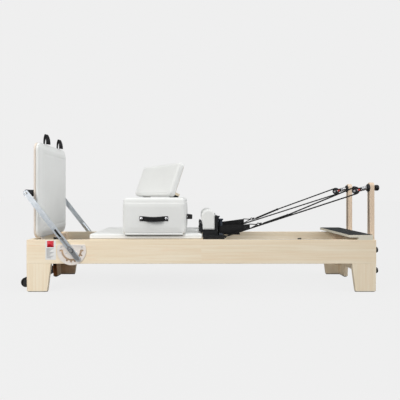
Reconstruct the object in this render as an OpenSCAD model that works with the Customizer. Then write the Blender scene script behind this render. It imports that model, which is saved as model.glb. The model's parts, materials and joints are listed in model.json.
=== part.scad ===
// Pilates reformer: timber bed frame, sprung sliding carriage, footbar, jump board,
// riser posts with rope pulleys, sitting box, padded extender and standing platform.
// Millimetres. +X runs from the foot end to the head end, +Z is up, and the origin is
// on the floor at the middle of the frame.

/* [Frame] */
// Length of the timber frame
frame_l = 2400; // [2300:10:2500]
// Width of the timber frame over the side rails
frame_w = 690; // [680:2:700]
// Height of the top of the side rails above the floor
rail_top = 358; // [350:1:366]
// Depth of the side rails
rail_h = 164; // [158:1:170]
// Thickness of the frame boards
board_t = 30; // [28:1:32]

/* [Footbar] */
// Distance from the footbar pivot to the centre of the cross tube
arm_reach = 501; // [490:1:510]
// Angle of the arms above the head-end horizontal
arm_angle = 128; // [127:1:129]
// Radius of the padded grip on the cross tube
grip_r = 24; // [20:1:25]

/* [Carriage] */
// Length of the upholstered part of the carriage
pad_l = 793; // [780:1:800]
// Width of the carriage
carriage_w = 626; // [620:1:628]
// Height of the top of the carriage upholstery
carriage_top = 398; // [394:1:402]

/* [Jump board] */
// Width of the jump board
jump_w = 610; // [600:2:630]
// Height of the top edge of the jump board
jump_top = 1036; // [1000:1:1050]

/* [Sitting box] */
// Size of the box along the frame
box_x = 431; // [420:1:440]
// Size of the box across the frame
box_y = 660; // [640:2:670]
// Height of the box
box_h = 251; // [240:1:256]

/* [Risers] */
// Height of the top of the riser posts
riser_top = 756; // [740:1:770]
// Distance of each riser post from the centreline
riser_y = 215; // [213:1:217]

/* [Hidden] */
$fn = 48;
fit = 0.05;                 // radial running clearance of pins in bores
half_l = frame_l / 2;
half_w = frame_w / 2;
inner_y = half_w - board_t; // inside face of a side rail
inner_x = half_l - board_t; // inside face of an end board
rail_bottom = rail_top - rail_h;
foot_pad_t = 5;

pivot = [-890, 285];        // x and z of the footbar pivot
pivot_r = 8;
plate_t = 5;                // index plate
plate_r = 100;
plate_flat = 42;            // height of its flat top above the pivot
slot_r = 64;                // centre line of the arc slot
notch_r = 76;               // bottom of the notches
pin_r = 6;                  // index pin
slot_w = 13;
lock_travel = notch_r - slot_r;
knob_s = 108;               // distance of the release knob from the pivot
notch_angles = [180, 245, 268, 288, arm_angle + 180, 334, 360];
arm_t = 8;
arm_w = 36;
arm_tail = 90;              // arm length past the pivot
arm_y = half_w + plate_t + 1;
slider_y = arm_y + arm_t + 0.4;
slider_t = 3;
bolt_head_y = slider_y + slider_t + 0.6;

wheel_r = 26;
wheel_z = 315;
wheel_x = [-690, 80];
flange_r = wheel_r + 5;
track_x = [-870, 1100];
stop_x = 816;                // face of the head-end buffers
spring_y = [-180, -90, 0, 90, 180];
spring_z = 292;
spring_bar_x = -1040;
spring_bar_top = spring_z - 20;
spring_hook_x = -700;

jump_back = -1166;          // back face of the jump board panel
jump_panel_t = 12;
jump_pad_t = 38;
jump_bevel = 48;            // how far the pad's face is set in from its outline
jump_bevel_t = 30;
jump_bottom = 366;
tongue_y = 150;
tongue_w = 60;

deck_x = [11, 162];         // hard deck at the head end of the carriage
deck_top = 382;
carriage_board = [354, 372];
pad_x0 = deck_x[0] - pad_l;
cover_t = 5.8;               // covers hang round the board's edges by this thickness
shoulder_y = 185;
post_r = 6;                 // pegs under a shoulder rest
rest_peg_x = [20, 85];
peg = [139.5, 215];         // x and y of the strap pegs
peg_top = 497;
headrest_x = [20, 291];
headrest_w = 224;

box_z = carriage_top + 0.2;
box_x0 = -543;
box_top = box_z + box_h;
handle_z = 503;

platform_x = [1015, 1179];
post_x = half_l;
post_t = 33;
post_w = 50;
knob_z = [128, 274];
stud_r = 6;                 // threaded studs of the hand knobs
eye_z = 718;                // height of the pulley eyebolt in the post
eye_x = half_l - 14;        // foot-side face of the domed washer
eye_tilt = 14;              // downward tilt of the pulley and its sleeve
pulley_reach = 82;
neck_x = 46;                // start of the pulley housing along the tilted shank
shank_r = 4;
axle_r = 5;
sheave_r = 24;              // radius of the rope's centre line on the sheave
rope_r = 4.5;
sleeve_r = 7.5;             // doubled rope in its adjuster sleeve
pulley = [eye_x - pulley_reach * cos(eye_tilt), eye_z - pulley_reach * sin(eye_tilt)];
rope_anchor = [167, 240, 370];
strap_y = 190;              // the strap's ring, inboard of its peg
strap_end = [343, 438];     // x and z of the near strap's end
far_strap_lift = 17;        // how much higher the far strap lies
clip_x = 441;
sleeve_end = [622, 193, 516];
transport = [-1238, 250, 50]; // axle of a transport wheel
transport_r = 34;
knob_l = -transport[0] + transport_r - half_l - post_t;
clamp_knob_l = knob_l - 8;    // the clamp knobs are shorter than the pulley knobs

// ---- helpers ----

// Rectangle with round corners, centred
module round_rect(w, h, r) {
  square([w - 2 * r, h], center = true);
  square([w, h - 2 * r], center = true);
  for (x = [-1, 1], y = [-1, 1]) translate([x * (w / 2 - r), y * (h / 2 - r)]) circle(r);
}

// Slot with round ends along x from x0 to x1
module slot2d(x0, x1, w) {
  translate([x0, -w / 2]) square([x1 - x0, w]);
  for (x = [x0, x1]) translate([x, 0]) circle(w / 2);
}

// Box between two corners
module block(a, b) { translate(a) cube(b - a); }

// Extrudes a 2D shape drawn in x and z between two y values
module along_y(y0, y1) { translate([0, y1, 0]) rotate([90, 0, 0]) linear_extrude(y1 - y0) children(); }

// Extrudes a 2D shape drawn in y and z between two x values
module along_x(x0, x1) { translate([x0, 0, 0]) rotate([90, 0, 90]) linear_extrude(x1 - x0) children(); }

// Round rod from p to q
module rod(p, q, r) {
  v = q - p;
  l = norm(v);
  translate(p) rotate([0, acos(v[2] / l), atan2(v[1], v[0])]) cylinder(h = l, r = r);
}

// Cylinder along y at x and z
module y_rod(x, z, y0, y1, r) { translate([x, y0, z]) rotate([-90, 0, 0]) cylinder(h = y1 - y0, r = r); }

// Cylinder along x at y and z
module x_rod(y, z, x0, x1, r) { translate([x0, y, z]) rotate([0, 90, 0]) cylinder(h = x1 - x0, r = r); }

// Child on the near side as drawn, and mirrored to the far side
module both_sides() {
  children();
  mirror([0, 1, 0]) children();
}
module all_corners() {
  both_sides() {
    children();
    mirror([1, 0, 0]) children();
  }
}

// ---- timber frame ----

// The two side rails, bored for the footbar pivot bolts
module side_rails() {
  color("wheat") both_sides() difference() {
    block([-half_l, -half_w, rail_bottom], [half_l, -inner_y, rail_top]);
    y_rod(pivot[0], pivot[1], -half_w - 1, -inner_y + 1, pivot_r + fit);
  }
}

module foot_end_board() {
  color("wheat") block([-half_l, -inner_y, rail_bottom], [-inner_x, inner_y, rail_top]);
}

// The head panel drops lower between the legs, to stiffen the end that carries the risers
module head_end_panel() {
  apron_z = 92;
  apron_y = 176;
  color("wheat") difference() {
    along_x(inner_x, half_l) polygon([[-inner_y, rail_bottom], [-apron_y, rail_bottom],
      [-apron_y, apron_z], [apron_y, apron_z], [apron_y, rail_bottom],
      [inner_y, rail_bottom], [inner_y, rail_top], [-inner_y, rail_top]]);
    for (y = [-riser_y, riser_y]) x_rod(y, knob_z[1], inner_x - 1, half_l + 1, stud_r + fit);
  }
}

leg_top_w = 166;
leg_foot_w = 141;
leg_taper = 6;
leg_profile = [[0, rail_bottom], [leg_top_w, rail_bottom], [leg_foot_w, foot_pad_t], [leg_taper, foot_pad_t]];

// L-shaped leg at the foot near corner: a tapered side board and a tapered end board
module leg() {
  translate([-half_l, -half_w, 0]) {
    along_y(0, board_t) polygon(leg_profile);
    along_x(0, board_t) polygon(leg_profile);
  }
}

module legs() {
  color("wheat") difference() {
    all_corners() leg();
    for (y = [-riser_y, riser_y]) x_rod(y, knob_z[0], inner_x - 1, half_l + 1, stud_r + fit);
  }
}

module foot_pads() {
  color("#222222") all_corners() translate([-half_l + leg_taper + 2, -half_w + leg_taper + 2, 0])
    linear_extrude(foot_pad_t) {
      square([leg_foot_w - leg_taper - 4, board_t - leg_taper - 4]);
      square([board_t - leg_taper - 4, leg_foot_w - leg_taper - 4]);
    }
}

module corner_blocks() {
  size = 55;
  color("burlywood") all_corners()
    block([-inner_x, -inner_y, 110], [-inner_x + size, -inner_y + size, rail_top - 8]);
}

// Barrel bolts whose heads show on the two end faces
module frame_bolts() {
  color("silver") for (side = [-1, 1], y = [-inner_y - 16, inner_y + 16], z = [230, 320])
    translate([side * half_l, y, z]) rotate([0, side * 90, 0]) difference() {
      cylinder(h = 2.5, r = 7);
      translate([0, 0, 1]) cylinder(h = 2, r = 3, $fn = 6);
    }
}

// ---- inside the bed ----

// Aluminium rail along the inside of a side rail: wall plate and running ledge
module tracks() {
  ledge = 289 - 0.3;
  color("silver") both_sides() along_x(track_x[0], track_x[1]) {
    translate([-inner_y, 262]) square([3, 34]);
    translate([-inner_y, ledge - 5]) square([27, 5]);
    translate([-inner_y, 262]) square([12, 4]);
  }
}

// Steel bar with one upright peg for each spring, and its angle brackets on the rails
module spring_bar() {
  color("dimgray") {
    translate([spring_bar_x, 0, spring_bar_top]) {
      block([-20, -inner_y + 4, -12], [20, inner_y - 4, 0]);
      both_sides() {
        block([-45, -inner_y, -36], [45, -inner_y + 4, 24]);
        block([-20, -inner_y, -18], [20, -inner_y + 46, -12]);
      }
    }
    for (y = spring_y) translate([spring_bar_x, y, spring_bar_top]) {
      cylinder(h = 32, r = 5);
      translate([0, 0, 32]) cylinder(h = 4, r = 8);
    }
  }
}

// Rubber buffers on angle brackets at both ends of the running ledge
module track_stops() {
  color("#1d1d1f") for (end = [-1, 1]) both_sides() {
    touch = end < 0 ? wheel_x[0] - flange_r - 0.2 : stop_x;
    back = touch + end * 18;
    block([min(back, back + end * 8), -inner_y + 3, 289], [max(back, back + end * 8), -inner_y + 27, 306]);
    x_rod(-inner_y + 16, 298, min(touch, back), max(touch, back), 8);
  }
}

// ---- footbar ----

// Index plate outline, drawn round the pivot
module index_plate_2d() {
  difference() {
    intersection() {
      circle(plate_r, $fn = 96);
      translate([-plate_r, -plate_r]) square([2 * plate_r, plate_r + plate_flat]);
    }
    intersection() {
      difference() {
        circle(slot_r + slot_w / 2, $fn = 96);
        circle(slot_r - slot_w / 2, $fn = 96);
      }
      translate([-plate_r, -plate_r]) square([2 * plate_r, plate_r]);
    }
    for (a = notch_angles) rotate(a) slot2d(slot_r, notch_r, slot_w);
    circle(pivot_r + fit);
    for (x = [-72, 72]) translate([x, 26]) circle(3.2);
    for (x = [-34, 34]) translate([x, -18]) circle(3.2);
  }
}

module index_plates() {
  color("gainsboro") both_sides() translate([pivot[0], 0, pivot[1]])
    along_y(-half_w - plate_t, -half_w) index_plate_2d();
}

module pivot_bolts() {
  color("silver") both_sides() {
    y_rod(pivot[0], pivot[1], -bolt_head_y, -inner_y + 12, pivot_r);
    y_rod(pivot[0], pivot[1], -bolt_head_y - 6, -bolt_head_y, 12);
    y_rod(pivot[0], pivot[1], -inner_y + 0.2, -inner_y + 10, 13, $fn = 6);
  }
}

// Places children in the arm's own frame: x runs from the pivot towards the cross tube
module arm_frame() { translate([pivot[0], 0, pivot[1]]) rotate([0, -arm_angle, 0]) children(); }

module footbar_arms() {
  color("lightsteelblue") arm_frame() {
    both_sides() difference() {
      along_y(-arm_y - arm_t, -arm_y) slot2d(-arm_tail + arm_w / 2, arm_reach, arm_w);
      y_rod(0, 0, -arm_y - arm_t - 1, -arm_y + 1, pivot_r + fit);
      along_y(-arm_y - arm_t - 1, -arm_y + 1) {
        slot2d(knob_s - lock_travel - 3, 178, 14);
        slot2d(-notch_r, -slot_r, slot_w);
      }
    }
    y_rod(arm_reach, 0, -arm_y, arm_y, 16);
  }
}

module footbar_grip() {
  color("#1b1b1d") arm_frame() difference() {
    y_rod(arm_reach, 0, -arm_y + 0.5, arm_y - 0.5, grip_r);
    y_rod(arm_reach, 0, -arm_y, arm_y, 16);
  }
}

// Flat release slider on the outside of an arm: pull knob above, index pin below. It is
// drawn released, with its pin in the arc slot, and slides down the arm into a notch.
module lock_slider() {
  color("slategray") arm_frame() {
    difference() {
      along_y(-slider_y - slider_t, -slider_y) {
        slot2d(-slot_r, 24, 28);
        slot2d(24, knob_s + 6, 10);
      }
      along_y(-slider_y - slider_t - 1, -slider_y + 1) slot2d(-2, lock_travel + 2, 2 * pivot_r + 1.5);
    }
    y_rod(-slot_r, 0, -slider_y, -half_w - 1, pin_r);
    y_rod(knob_s, 0, -slider_y - 11, -slider_y - slider_t, 7.5);
    y_rod(knob_s, 0, -slider_y, -arm_y - 2, 5);
  }
}

// ---- risers and pulleys ----

module riser_posts() {
  color("tan") difference() {
    for (y = [-riser_y, riser_y]) along_x(post_x, post_x + post_t) translate([y, 0]) {
      translate([-post_w / 2, 100]) square([post_w, riser_top - 100 - post_w / 2]);
      translate([0, riser_top - post_w / 2]) circle(post_w / 2);
    }
    for (y = [-riser_y, riser_y], z = [knob_z[0], knob_z[1], eye_z])
      x_rod(y, z, post_x - 1, post_x + post_t + 1, stud_r + fit);
  }
}

// Domed black washer between each post and its pulley
module riser_washers() {
  color("#1b1b1d") for (y = [-riser_y, riser_y]) translate([post_x, y, eye_z]) rotate([0, -90, 0])
    rotate_extrude() polygon([[stud_r + fit, 0], [29, 0], [29, 5], [25, 11], [16, 14], [stud_r + fit, 14]]);
}

// Hand knob with its threaded stud, axis along x
module hand_knob(y, z, stud_end, l) {
  x0 = post_x + post_t;
  color("#151515") {
    translate([x0, y, z]) rotate([0, 90, 0]) rotate_extrude()
      polygon([[0, 0.2], [11, 0.2], [11, 8], [17, 11], [21, 16], [21, l - 8], [17, l - 2], [0, l]]);
    x_rod(y, z, stud_end, x0 + 1, stud_r);
  }
}

module pulley_knobs() {
  color("#151515") for (y = [-riser_y, riser_y]) hand_knob(y, eye_z, post_x + 12, knob_l);
}

// Frame of the pulley: x points from the washer towards the pulley, tilted down
module pulley_frame(y) { translate([eye_x, y, eye_z]) rotate([0, -eye_tilt, 0]) mirror([1, 0, 0]) children(); }

// Eyebolt fixed in the post, with a coil-sprung sleeve round its tilted shank
module pulley_eyebolts() {
  color("silver") for (y = [-riser_y, riser_y]) {
    x_rod(y, eye_z, eye_x - 2, post_x + 11.5, stud_r);
    pulley_frame(y) {
      x_rod(0, 0, 0, neck_x + 5.2, shank_r);
      x_rod(0, 0, neck_x + 5.1, neck_x + 7, shank_r + 3);
      x_rod(0, 0, 4, neck_x - 0.6, 14);
    }
  }
}

// Pulley housing: two cheeks joined by a neck that swivels on the eyebolt's shank
module pulley_block(y) {
  cheek = [9.5, 13.5];
  color("#1b1b1d") pulley_frame(y) {
    difference() {
      union() {
        for (s = [-1, 1]) along_y(min(s * cheek[0], s * cheek[1]), max(s * cheek[0], s * cheek[1])) {
          translate([pulley_reach, 0]) circle(21);
          translate([neck_x, -13]) square([pulley_reach - neck_x, 26]);
        }
        block([neck_x, -cheek[1], -13], [neck_x + 5, cheek[1], 13]);
      }
      x_rod(0, 0, neck_x - 1, neck_x + 6, shank_r + fit);
    }
    y_rod(pulley_reach, 0, -cheek[1], cheek[1], axle_r);
  }
}

module pulley_sheave(y) {
  half = 8.5;
  groove = sheave_r - rope_r - 1.2;
  color("dimgray") pulley_frame(y) translate([pulley_reach, 0, 0]) rotate([90, 0, 0]) rotate_extrude()
    polygon([[axle_r + fit, -half], [sheave_r, -half], [sheave_r, -half + 1], [groove, -3],
      [groove, 3], [sheave_r, half - 1], [sheave_r, half], [axle_r + fit, half]]);
}

// Where a rope run from p (x, z) meets the sheave: over it (side 1) or under it (side -1)
function sheave_angle(p, side) = let (v = pulley - p)
  atan2(v[1], v[0]) + side * (90 + asin(sheave_r / norm(v)));

// Point of the rope's centre line round the sheave, from its axle
function round_sheave(a) = sheave_r * [cos(a), 0, sin(a)];

// Rope of one side: anchor, half turn round the sheave, back to the sleeve and the clip
module rope(side) {
  lift = side > 0 ? far_strap_lift : 0;
  end = [sleeve_end[0], side * sleeve_end[1], sleeve_end[2] + 1.7 * lift];
  clip = [clip_x + 1.5, side * strap_y, strap_end[1] + 20 + lift];
  centre = [pulley[0], side * riser_y, pulley[1]];
  lo = sheave_angle([rope_anchor[0], rope_anchor[2]], -1);
  hi = sheave_angle([end[0], end[2]], 1);
  bend_n = 8;
  $fn = 24;
  function bend(i) = lo + i * (hi - lo) / bend_n;
  under = centre + round_sheave(lo);
  over = centre + round_sheave(hi);
  rod([rope_anchor[0], side * rope_anchor[1], rope_anchor[2]], under, rope_r);
  rod(end, over, rope_r);
  rod(clip, end, sleeve_r);
  for (i = [0:bend_n]) translate(centre + round_sheave(bend(i))) sphere(rope_r + 0.4);
  for (i = [1:bend_n]) rod(centre + round_sheave(bend(i - 1)), centre + round_sheave(bend(i)), rope_r);
  translate(end) sphere(sleeve_r + 0.5);
}

module ropes() { color("#202022") for (side = [-1, 1]) rope(side); }

// ---- jump board ----

module jump_board_panel() {
  mid = (jump_bottom + jump_top) / 2;
  color("burlywood") along_x(jump_back, jump_back + jump_panel_t) {
    translate([0, mid]) round_rect(jump_w, jump_top - jump_bottom, 55);
    for (y = [-tongue_y, tongue_y])
      translate([y - tongue_w / 2, 236]) square([tongue_w, jump_bottom - 236 + 20]);
  }
}

// Pad on the panel's head-end face, its edges bevelled towards a smaller flat face
module jump_board_pad() {
  mid = (jump_bottom + jump_top) / 2;
  h = jump_top - jump_bottom;
  x0 = jump_back + jump_panel_t + 0.2;
  x1 = x0 + jump_pad_t;
  xb = x1 - jump_bevel_t;
  color("whitesmoke") intersection() {
    along_x(x0, x1) translate([0, mid]) round_rect(jump_w, h, 55);
    along_y(-jump_w, jump_w) translate([0, mid]) bevel_2d(x0, xb, x1, h / 2);
    linear_extrude(2 * jump_top) bevel_2d(x0, xb, x1, jump_w / 2);
  }
}

// Section of a pad between x0 and x1 whose edges slope inwards from xb
module bevel_2d(x0, xb, x1, half) {
  face = half - jump_bevel;
  polygon([[x0, -half], [xb, -half], [x1, -face], [x1, face], [xb, half], [x0, half]]);
}

// Two webbing loops that stand up from the top edge
module jump_board_straps() {
  strap_rise = 55;
  color("#151515") for (y = [-146, 146]) along_y(y - 20, y + 20) translate([-1135, jump_top + 0.3])
    difference() {
      union() {
        translate([0, strap_rise]) circle(19);
        translate([-19, 0]) square([38, strap_rise]);
      }
      translate([0, strap_rise]) circle(14);
      translate([-14, -1]) square([28, strap_rise + 1]);
    }
}

// Channels on the inside of the foot end board that hold the jump board's tongues
module jump_board_brackets() {
  gap = 1.5;
  w = tongue_w / 2 + gap;
  color("dimgray") for (y = [-tongue_y, tongue_y]) translate([0, y, 0]) difference() {
    block([-inner_x, -w - 4, 228], [jump_back + jump_panel_t + gap + 4, w + 4, 330]);
    block([-inner_x + 4, -w, 233], [jump_back + jump_panel_t + gap, w, 331]);
  }
}

// ---- carriage ----

// Bores for the pegs of the two shoulder rests
module rest_bores() {
  for (side = [-1, 1], x = rest_peg_x)
    translate([x, side * shoulder_y, 350]) cylinder(h = 40, r = post_r + fit);
}

module carriage_board() {
  color("burlywood") difference() {
    block([pad_x0 + 6, -carriage_w / 2 + 6, carriage_board[0]],
      [deck_x[1] - 6, carriage_w / 2 - 6, carriage_board[1]]);
    rest_bores();
  }
}

module carriage_pad() {
  color("whitesmoke") difference() {
    block([pad_x0, -carriage_w / 2, 360], [deck_x[0] - 0.5, carriage_w / 2, carriage_top]);
    block([pad_x0 + cover_t, -carriage_w / 2 + cover_t, 350],
      [deck_x[0] + 1, carriage_w / 2 - cover_t, carriage_board[1] + 0.2]);
  }
}

// Black cover over the head end of the board, with a well for the headrest
module head_deck() {
  color("#1b1b1d") difference() {
    block([deck_x[0], -carriage_w / 2, 360], [deck_x[1], carriage_w / 2, deck_top]);
    block([deck_x[0] - 1, -carriage_w / 2 + cover_t, 350],
      [deck_x[1] - cover_t, carriage_w / 2 - cover_t, carriage_board[1] + 0.2]);
    block([deck_x[0] - 1, -headrest_w / 2 - 2, carriage_board[1]],
      [deck_x[1] + 1, headrest_w / 2 + 2, 400]);
    rest_bores();
  }
}

// Headrest board, with the pin of its piano hinge along the foot-side edge
module headrest_board() {
  half = headrest_w / 2 - 2;
  color("#1b1b1d") {
    block([headrest_x[0], -half, carriage_board[1] + 1], [headrest_x[1] - 2, half, 383]);
    y_rod(headrest_x[0], carriage_board[1] + 2, -half, half, 1.8);
  }
}

module headrest_pad() {
  color("#1b1b1d") block([headrest_x[0] + 14, -headrest_w / 2, 383.1],
    [headrest_x[1], headrest_w / 2, carriage_top]);
}

module wheel_bracket(x) {
  block([x - 22, -279, wheel_z - 12], [x + 22, -275, 354]);
  block([x - 22, -275, 350], [x + 22, -245, 354]);
  y_rod(x, wheel_z, -308, -275, 6);
}

// Steel chassis under the board: side members, cross members, wheel brackets, spring hooks
module carriage_chassis() {
  hook_l = 334 - spring_z + 10;
  color("dimgray") {
    both_sides() {
      block([-740, -245, 334], [120, -215, 353.8]);
      for (x = wheel_x) wheel_bracket(x);
    }
    for (x = [-720, 20]) block([x, -245, 334], [x + 40, 245, 353.8]);
    for (y = spring_y) translate([spring_hook_x, y, 334]) mirror([0, 0, 1]) {
      cylinder(h = hook_l, r = 5);
      translate([0, 0, hook_l]) cylinder(h = 3, r = 8);
    }
  }
}

// Flanged nylon wheel, bored for its axle, in the pair at x
module wheels(x) {
  color("ghostwhite") both_sides() difference() {
    union() {
      y_rod(x, wheel_z, -308, -288.5, wheel_r);
      y_rod(x, wheel_z, -287.4, -281.5, wheel_r + 5);
      y_rod(x, wheel_z, -289, -287, wheel_r - 2);
    }
    y_rod(x, wheel_z, -309, -281, 6 + fit);
  }
}

// Extension springs: close-wound bodies with an eye at each end
module springs() {
  a = spring_bar_x;
  b = spring_hook_x;
  color("silver") for (y = spring_y) {
    x_rod(y, spring_z, a + 34, b - 34, 14);
    x_rod(y, spring_z, a + 10.6, a + 35, 2.6);
    x_rod(y, spring_z, b - 35, b - 10.6, 2.6);
    for (x = [a, b]) translate([x, y, spring_z]) rotate_extrude() translate([9.2, 0]) circle(2.6, $fn = 20);
  }
}

module strap_pegs() {
  color("#26282c") both_sides() translate([peg[0], -peg[1], 0]) rotate_extrude()
    polygon([[0, deck_top + 0.1], [21, deck_top + 0.1], [20, deck_top + 12], [14, deck_top + 20],
      [12.5, deck_top + 24], [12.5, peg_top - 12], [18, peg_top - 9], [19, peg_top - 2],
      [17, peg_top], [0, peg_top]]);
}

// Plan of a strap loop: round the peg at one end, narrow at the other
module loop_2d(r, l, end_half) {
  circle(r);
  polygon([[0, r], [l, end_half], [l, -end_half], [0, -r]]);
}

// Webbing loop round a peg, deep at the peg and narrow where it holds its ring
module strap_loop(side) {
  lift = side > 0 ? far_strap_lift : 0;
  run = strap_end[0] - peg[0];
  turn = atan2(peg[1] - strap_y, run);
  zc = strap_end[1] + lift;
  intersection() {
    translate([peg[0], side * peg[1], deck_top]) rotate([0, 0, -side * turn])
      linear_extrude(120) difference() {
        loop_2d(18, run, 9);
        loop_2d(14, run - 8, 4.5);
      }
    along_y(-half_w, half_w) polygon([[100, deck_top + 24.5], [161, deck_top + 24.5], [163, deck_top + 3],
      [190, deck_top + 3], [280, zc - 38], [strap_end[0] + 5, zc - 17], [strap_end[0] + 5, zc + 17],
      [250, zc + 5], [190, deck_top + 70], [100, deck_top + 70]]);
  }
}

module strap_loops() { color("#151515") for (side = [-1, 1]) strap_loop(side); }

// Triangular wire ring held by the end of a strap loop
module strap_ring(side) {
  wire_r = 3;
  z = strap_end[1] + (side > 0 ? far_strap_lift : 0);
  x = strap_end[0] + 4;
  corners = [[x, side * strap_y, z + 18], [x, side * strap_y, z - 18], [x + 60, side * strap_y, z + 15]];
  for (i = [0:2]) {
    rod(corners[i], corners[(i + 1) % 3], wire_r);
    translate(corners[i]) sphere(wire_r + 0.3);
  }
}

module strap_rings() { color("#303236") for (side = [-1, 1]) strap_ring(side); }

// Snap hook between ring and rope
module snap_hook(side) {
  z = strap_end[1] + (side > 0 ? far_strap_lift : 0);
  a = [strap_end[0] + 72, side * strap_y, z + 16];
  b = [clip_x - 1, side * strap_y, z + 20];
  difference() {
    union() {
      rod(a, b, 8);
      translate(a) sphere(9);
    }
    translate([strap_end[0] + 64, side * strap_y, z + 15]) sphere(5);
  }
}

module snap_hooks() { color("#1b1b1d") for (side = [-1, 1]) snap_hook(side); }

// ---- shoulder rests ----

module shoulder_cradle() {
  y0 = -shoulder_y - 65;
  y1 = -shoulder_y + 65;
  color("#141416") {
    along_y(y0, y1) polygon([[deck_x[0], deck_top + 0.1], [116, deck_top + 0.1], [116, 519],
      [101, 519], [101, 416], [9, 416], [6, 458], [-2, 469], [-11, 467], [-15, 452], [-13, 425],
      [-17, 410], [deck_x[0], carriage_top + 1]]);
    for (x = rest_peg_x) translate([x, -shoulder_y, 362]) cylinder(h = deck_top + 1 - 362, r = post_r);
  }
}

module shoulder_pad() {
  color("whitesmoke") along_y(-shoulder_y - 63, -shoulder_y + 63) {
    translate([12, 416.2]) square([88.8, 100]);
    translate([50, 515]) circle(50.8);
    translate([-0.8, 470.5]) square([60, 45]);
  }
}

// ---- sitting box ----

module box_core() {
  t = 12;
  x1 = box_x0 + box_x;
  color("burlywood") difference() {
    block([box_x0 + 8, -box_y / 2 + 8, box_z], [x1 - 8, box_y / 2 - 8, box_top - 8]);
    block([box_x0 + 8 + t, -box_y / 2 + 8 + t, box_z + t],
      [x1 - 8 - t, box_y / 2 - 8 - t, box_top - 8 - t]);
  }
}

module box_cover() {
  x1 = box_x0 + box_x;
  color("whitesmoke") difference() {
    block([box_x0, -box_y / 2, box_z], [x1, box_y / 2, box_top]);
    block([box_x0 + 7.8, -box_y / 2 + 7.8, box_z - 1], [x1 - 7.8, box_y / 2 - 7.8, box_top - 7.8]);
  }
}

// Arched strap handle with two domed studs; it stands out along -y from y = 0
module box_handle() {
  half = 72;
  rise = 40;
  r = (half * half + rise * rise) / (2 * rise);
  translate([0, 0, -18]) linear_extrude(36) {
    intersection() {
      translate([0, r - rise - 2]) difference() {
        circle(r + 2, $fn = 96);
        circle(r - 2, $fn = 96);
      }
      translate([-half - 4, -rise - 6]) square([2 * half + 8, rise + 5.8]);
    }
    for (s = [-1, 1]) translate([s * 84 - 16, -4.4]) square([32, 4.2]);
  }
  for (s = [-1, 1]) translate([s * 86, -4.2, 0]) rotate([90, 0, 0])
    cylinder(h = 4, r1 = 9, r2 = 5, $fn = 32);
}

module box_handles() {
  xm = box_x0 + box_x / 2;
  color("#151515") {
    both_sides() translate([xm, -box_y / 2, handle_z]) box_handle();
    translate([box_x0 + box_x, 0, handle_z]) rotate([0, 0, 90]) box_handle();
  }
}

// ---- padded extender, leaning on top of the box ----

ext_corner = [-223, -316];   // its lower near corner, x and y
ext_l = 620;
ext_h = 246;
ext_board_t = 12;
ext_pad_t = 32;
ext_lean = 20.3;
ext_yaw = 121.3;
cleat_d = 50;
cleat_z = 20;
ext_t = ext_board_t + ext_pad_t;
ext_lift = max(ext_t * sin(ext_lean), (ext_t + cleat_d) * sin(ext_lean) - (cleat_z - 6) * cos(ext_lean));

// Frame of the extender: x along its length, y towards its front, z up its face
module extender_frame() {
  translate([ext_corner[0], ext_corner[1], box_top + 0.3 + ext_lift])
    rotate([0, 0, ext_yaw]) rotate([ext_lean, 0, 0]) children();
}

module extender_board() {
  color("burlywood") extender_frame() {
    along_y(-ext_t, -ext_pad_t - 0.2) translate([ext_l / 2, ext_h / 2]) round_rect(ext_l, ext_h, 30);
    for (x = [30, ext_l - 130]) block([x, -ext_t - cleat_d, cleat_z], [x + 100, -ext_t, cleat_z + 18]);
  }
}

module extender_pad() {
  color("whitesmoke") extender_frame()
    along_y(-ext_pad_t, 0) translate([ext_l / 2, ext_h / 2]) round_rect(ext_l, ext_h, 30);
}

// ---- standing platform ----

module platform_board() {
  color("beige") {
    block([platform_x[0], -half_w, 374], [platform_x[1], half_w, 391]);
    both_sides() along_y(-half_w, -half_w + 45)
      polygon([[platform_x[0] + 60, rail_top + 0.2], [platform_x[1], rail_top + 0.2],
        [platform_x[1], 374], [platform_x[0] + 68, 374]]);
  }
}

module platform_grip() {
  color("#20262a") block([platform_x[0] + 3, -half_w + 3, 391.1], [platform_x[1] - 3, half_w - 3, 393]);
}

// ---- transport wheels ----

module transport_wheel_brackets() {
  color("#1b1b1d") both_sides() translate([transport[0], -transport[1], transport[2]]) {
    reach = -half_l - transport[0];
    for (s = [0, 1]) mirror([0, s, 0]) {
      along_y(16.5, 21.5) {
        circle(13);
        translate([0, -13]) square([reach, 26]);
      }
      block([reach - 4, 16.5, -13], [reach, 42, 34]);
    }
    y_rod(0, 0, -24, 24, axle_r);
  }
}

module transport_wheel() {
  color("#151515") translate([transport[0], -transport[1], transport[2]]) rotate([90, 0, 0]) difference() {
    cylinder(h = 28, r = transport_r, center = true);
    cylinder(h = 30, r = axle_r + fit, center = true);
    for (s = [-1, 1]) translate([0, 0, s * 14]) difference() {
      cylinder(h = 10, r = 25, center = true);
      cylinder(h = 12, r = 11, center = true);
    }
  }
}

// ---- assembly ----

side_rails();
foot_end_board();
head_end_panel();
legs();
foot_pads();
corner_blocks();
frame_bolts();
tracks();
spring_bar();
track_stops();
index_plates();
pivot_bolts();
riser_posts();
riser_washers();
pulley_knobs();
pulley_eyebolts();
hand_knob(-riser_y, knob_z[0], inner_x, clamp_knob_l);  // clamp_knob_low_near
hand_knob(riser_y, knob_z[0], inner_x, clamp_knob_l);  // clamp_knob_low_far
hand_knob(-riser_y, knob_z[1], inner_x, clamp_knob_l);  // clamp_knob_high_near
hand_knob(riser_y, knob_z[1], inner_x, clamp_knob_l);  // clamp_knob_high_far
jump_board_brackets();
transport_wheel_brackets();
transport_wheel();  // transport_wheel_near
mirror([0, 1, 0]) transport_wheel();  // transport_wheel_far
footbar_arms();
footbar_grip();
lock_slider();  // lock_slider_near
mirror([0, 1, 0]) lock_slider();  // lock_slider_far
pulley_block(-riser_y);  // pulley_block_near
pulley_block(riser_y);  // pulley_block_far
pulley_sheave(-riser_y);  // pulley_sheave_near
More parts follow.
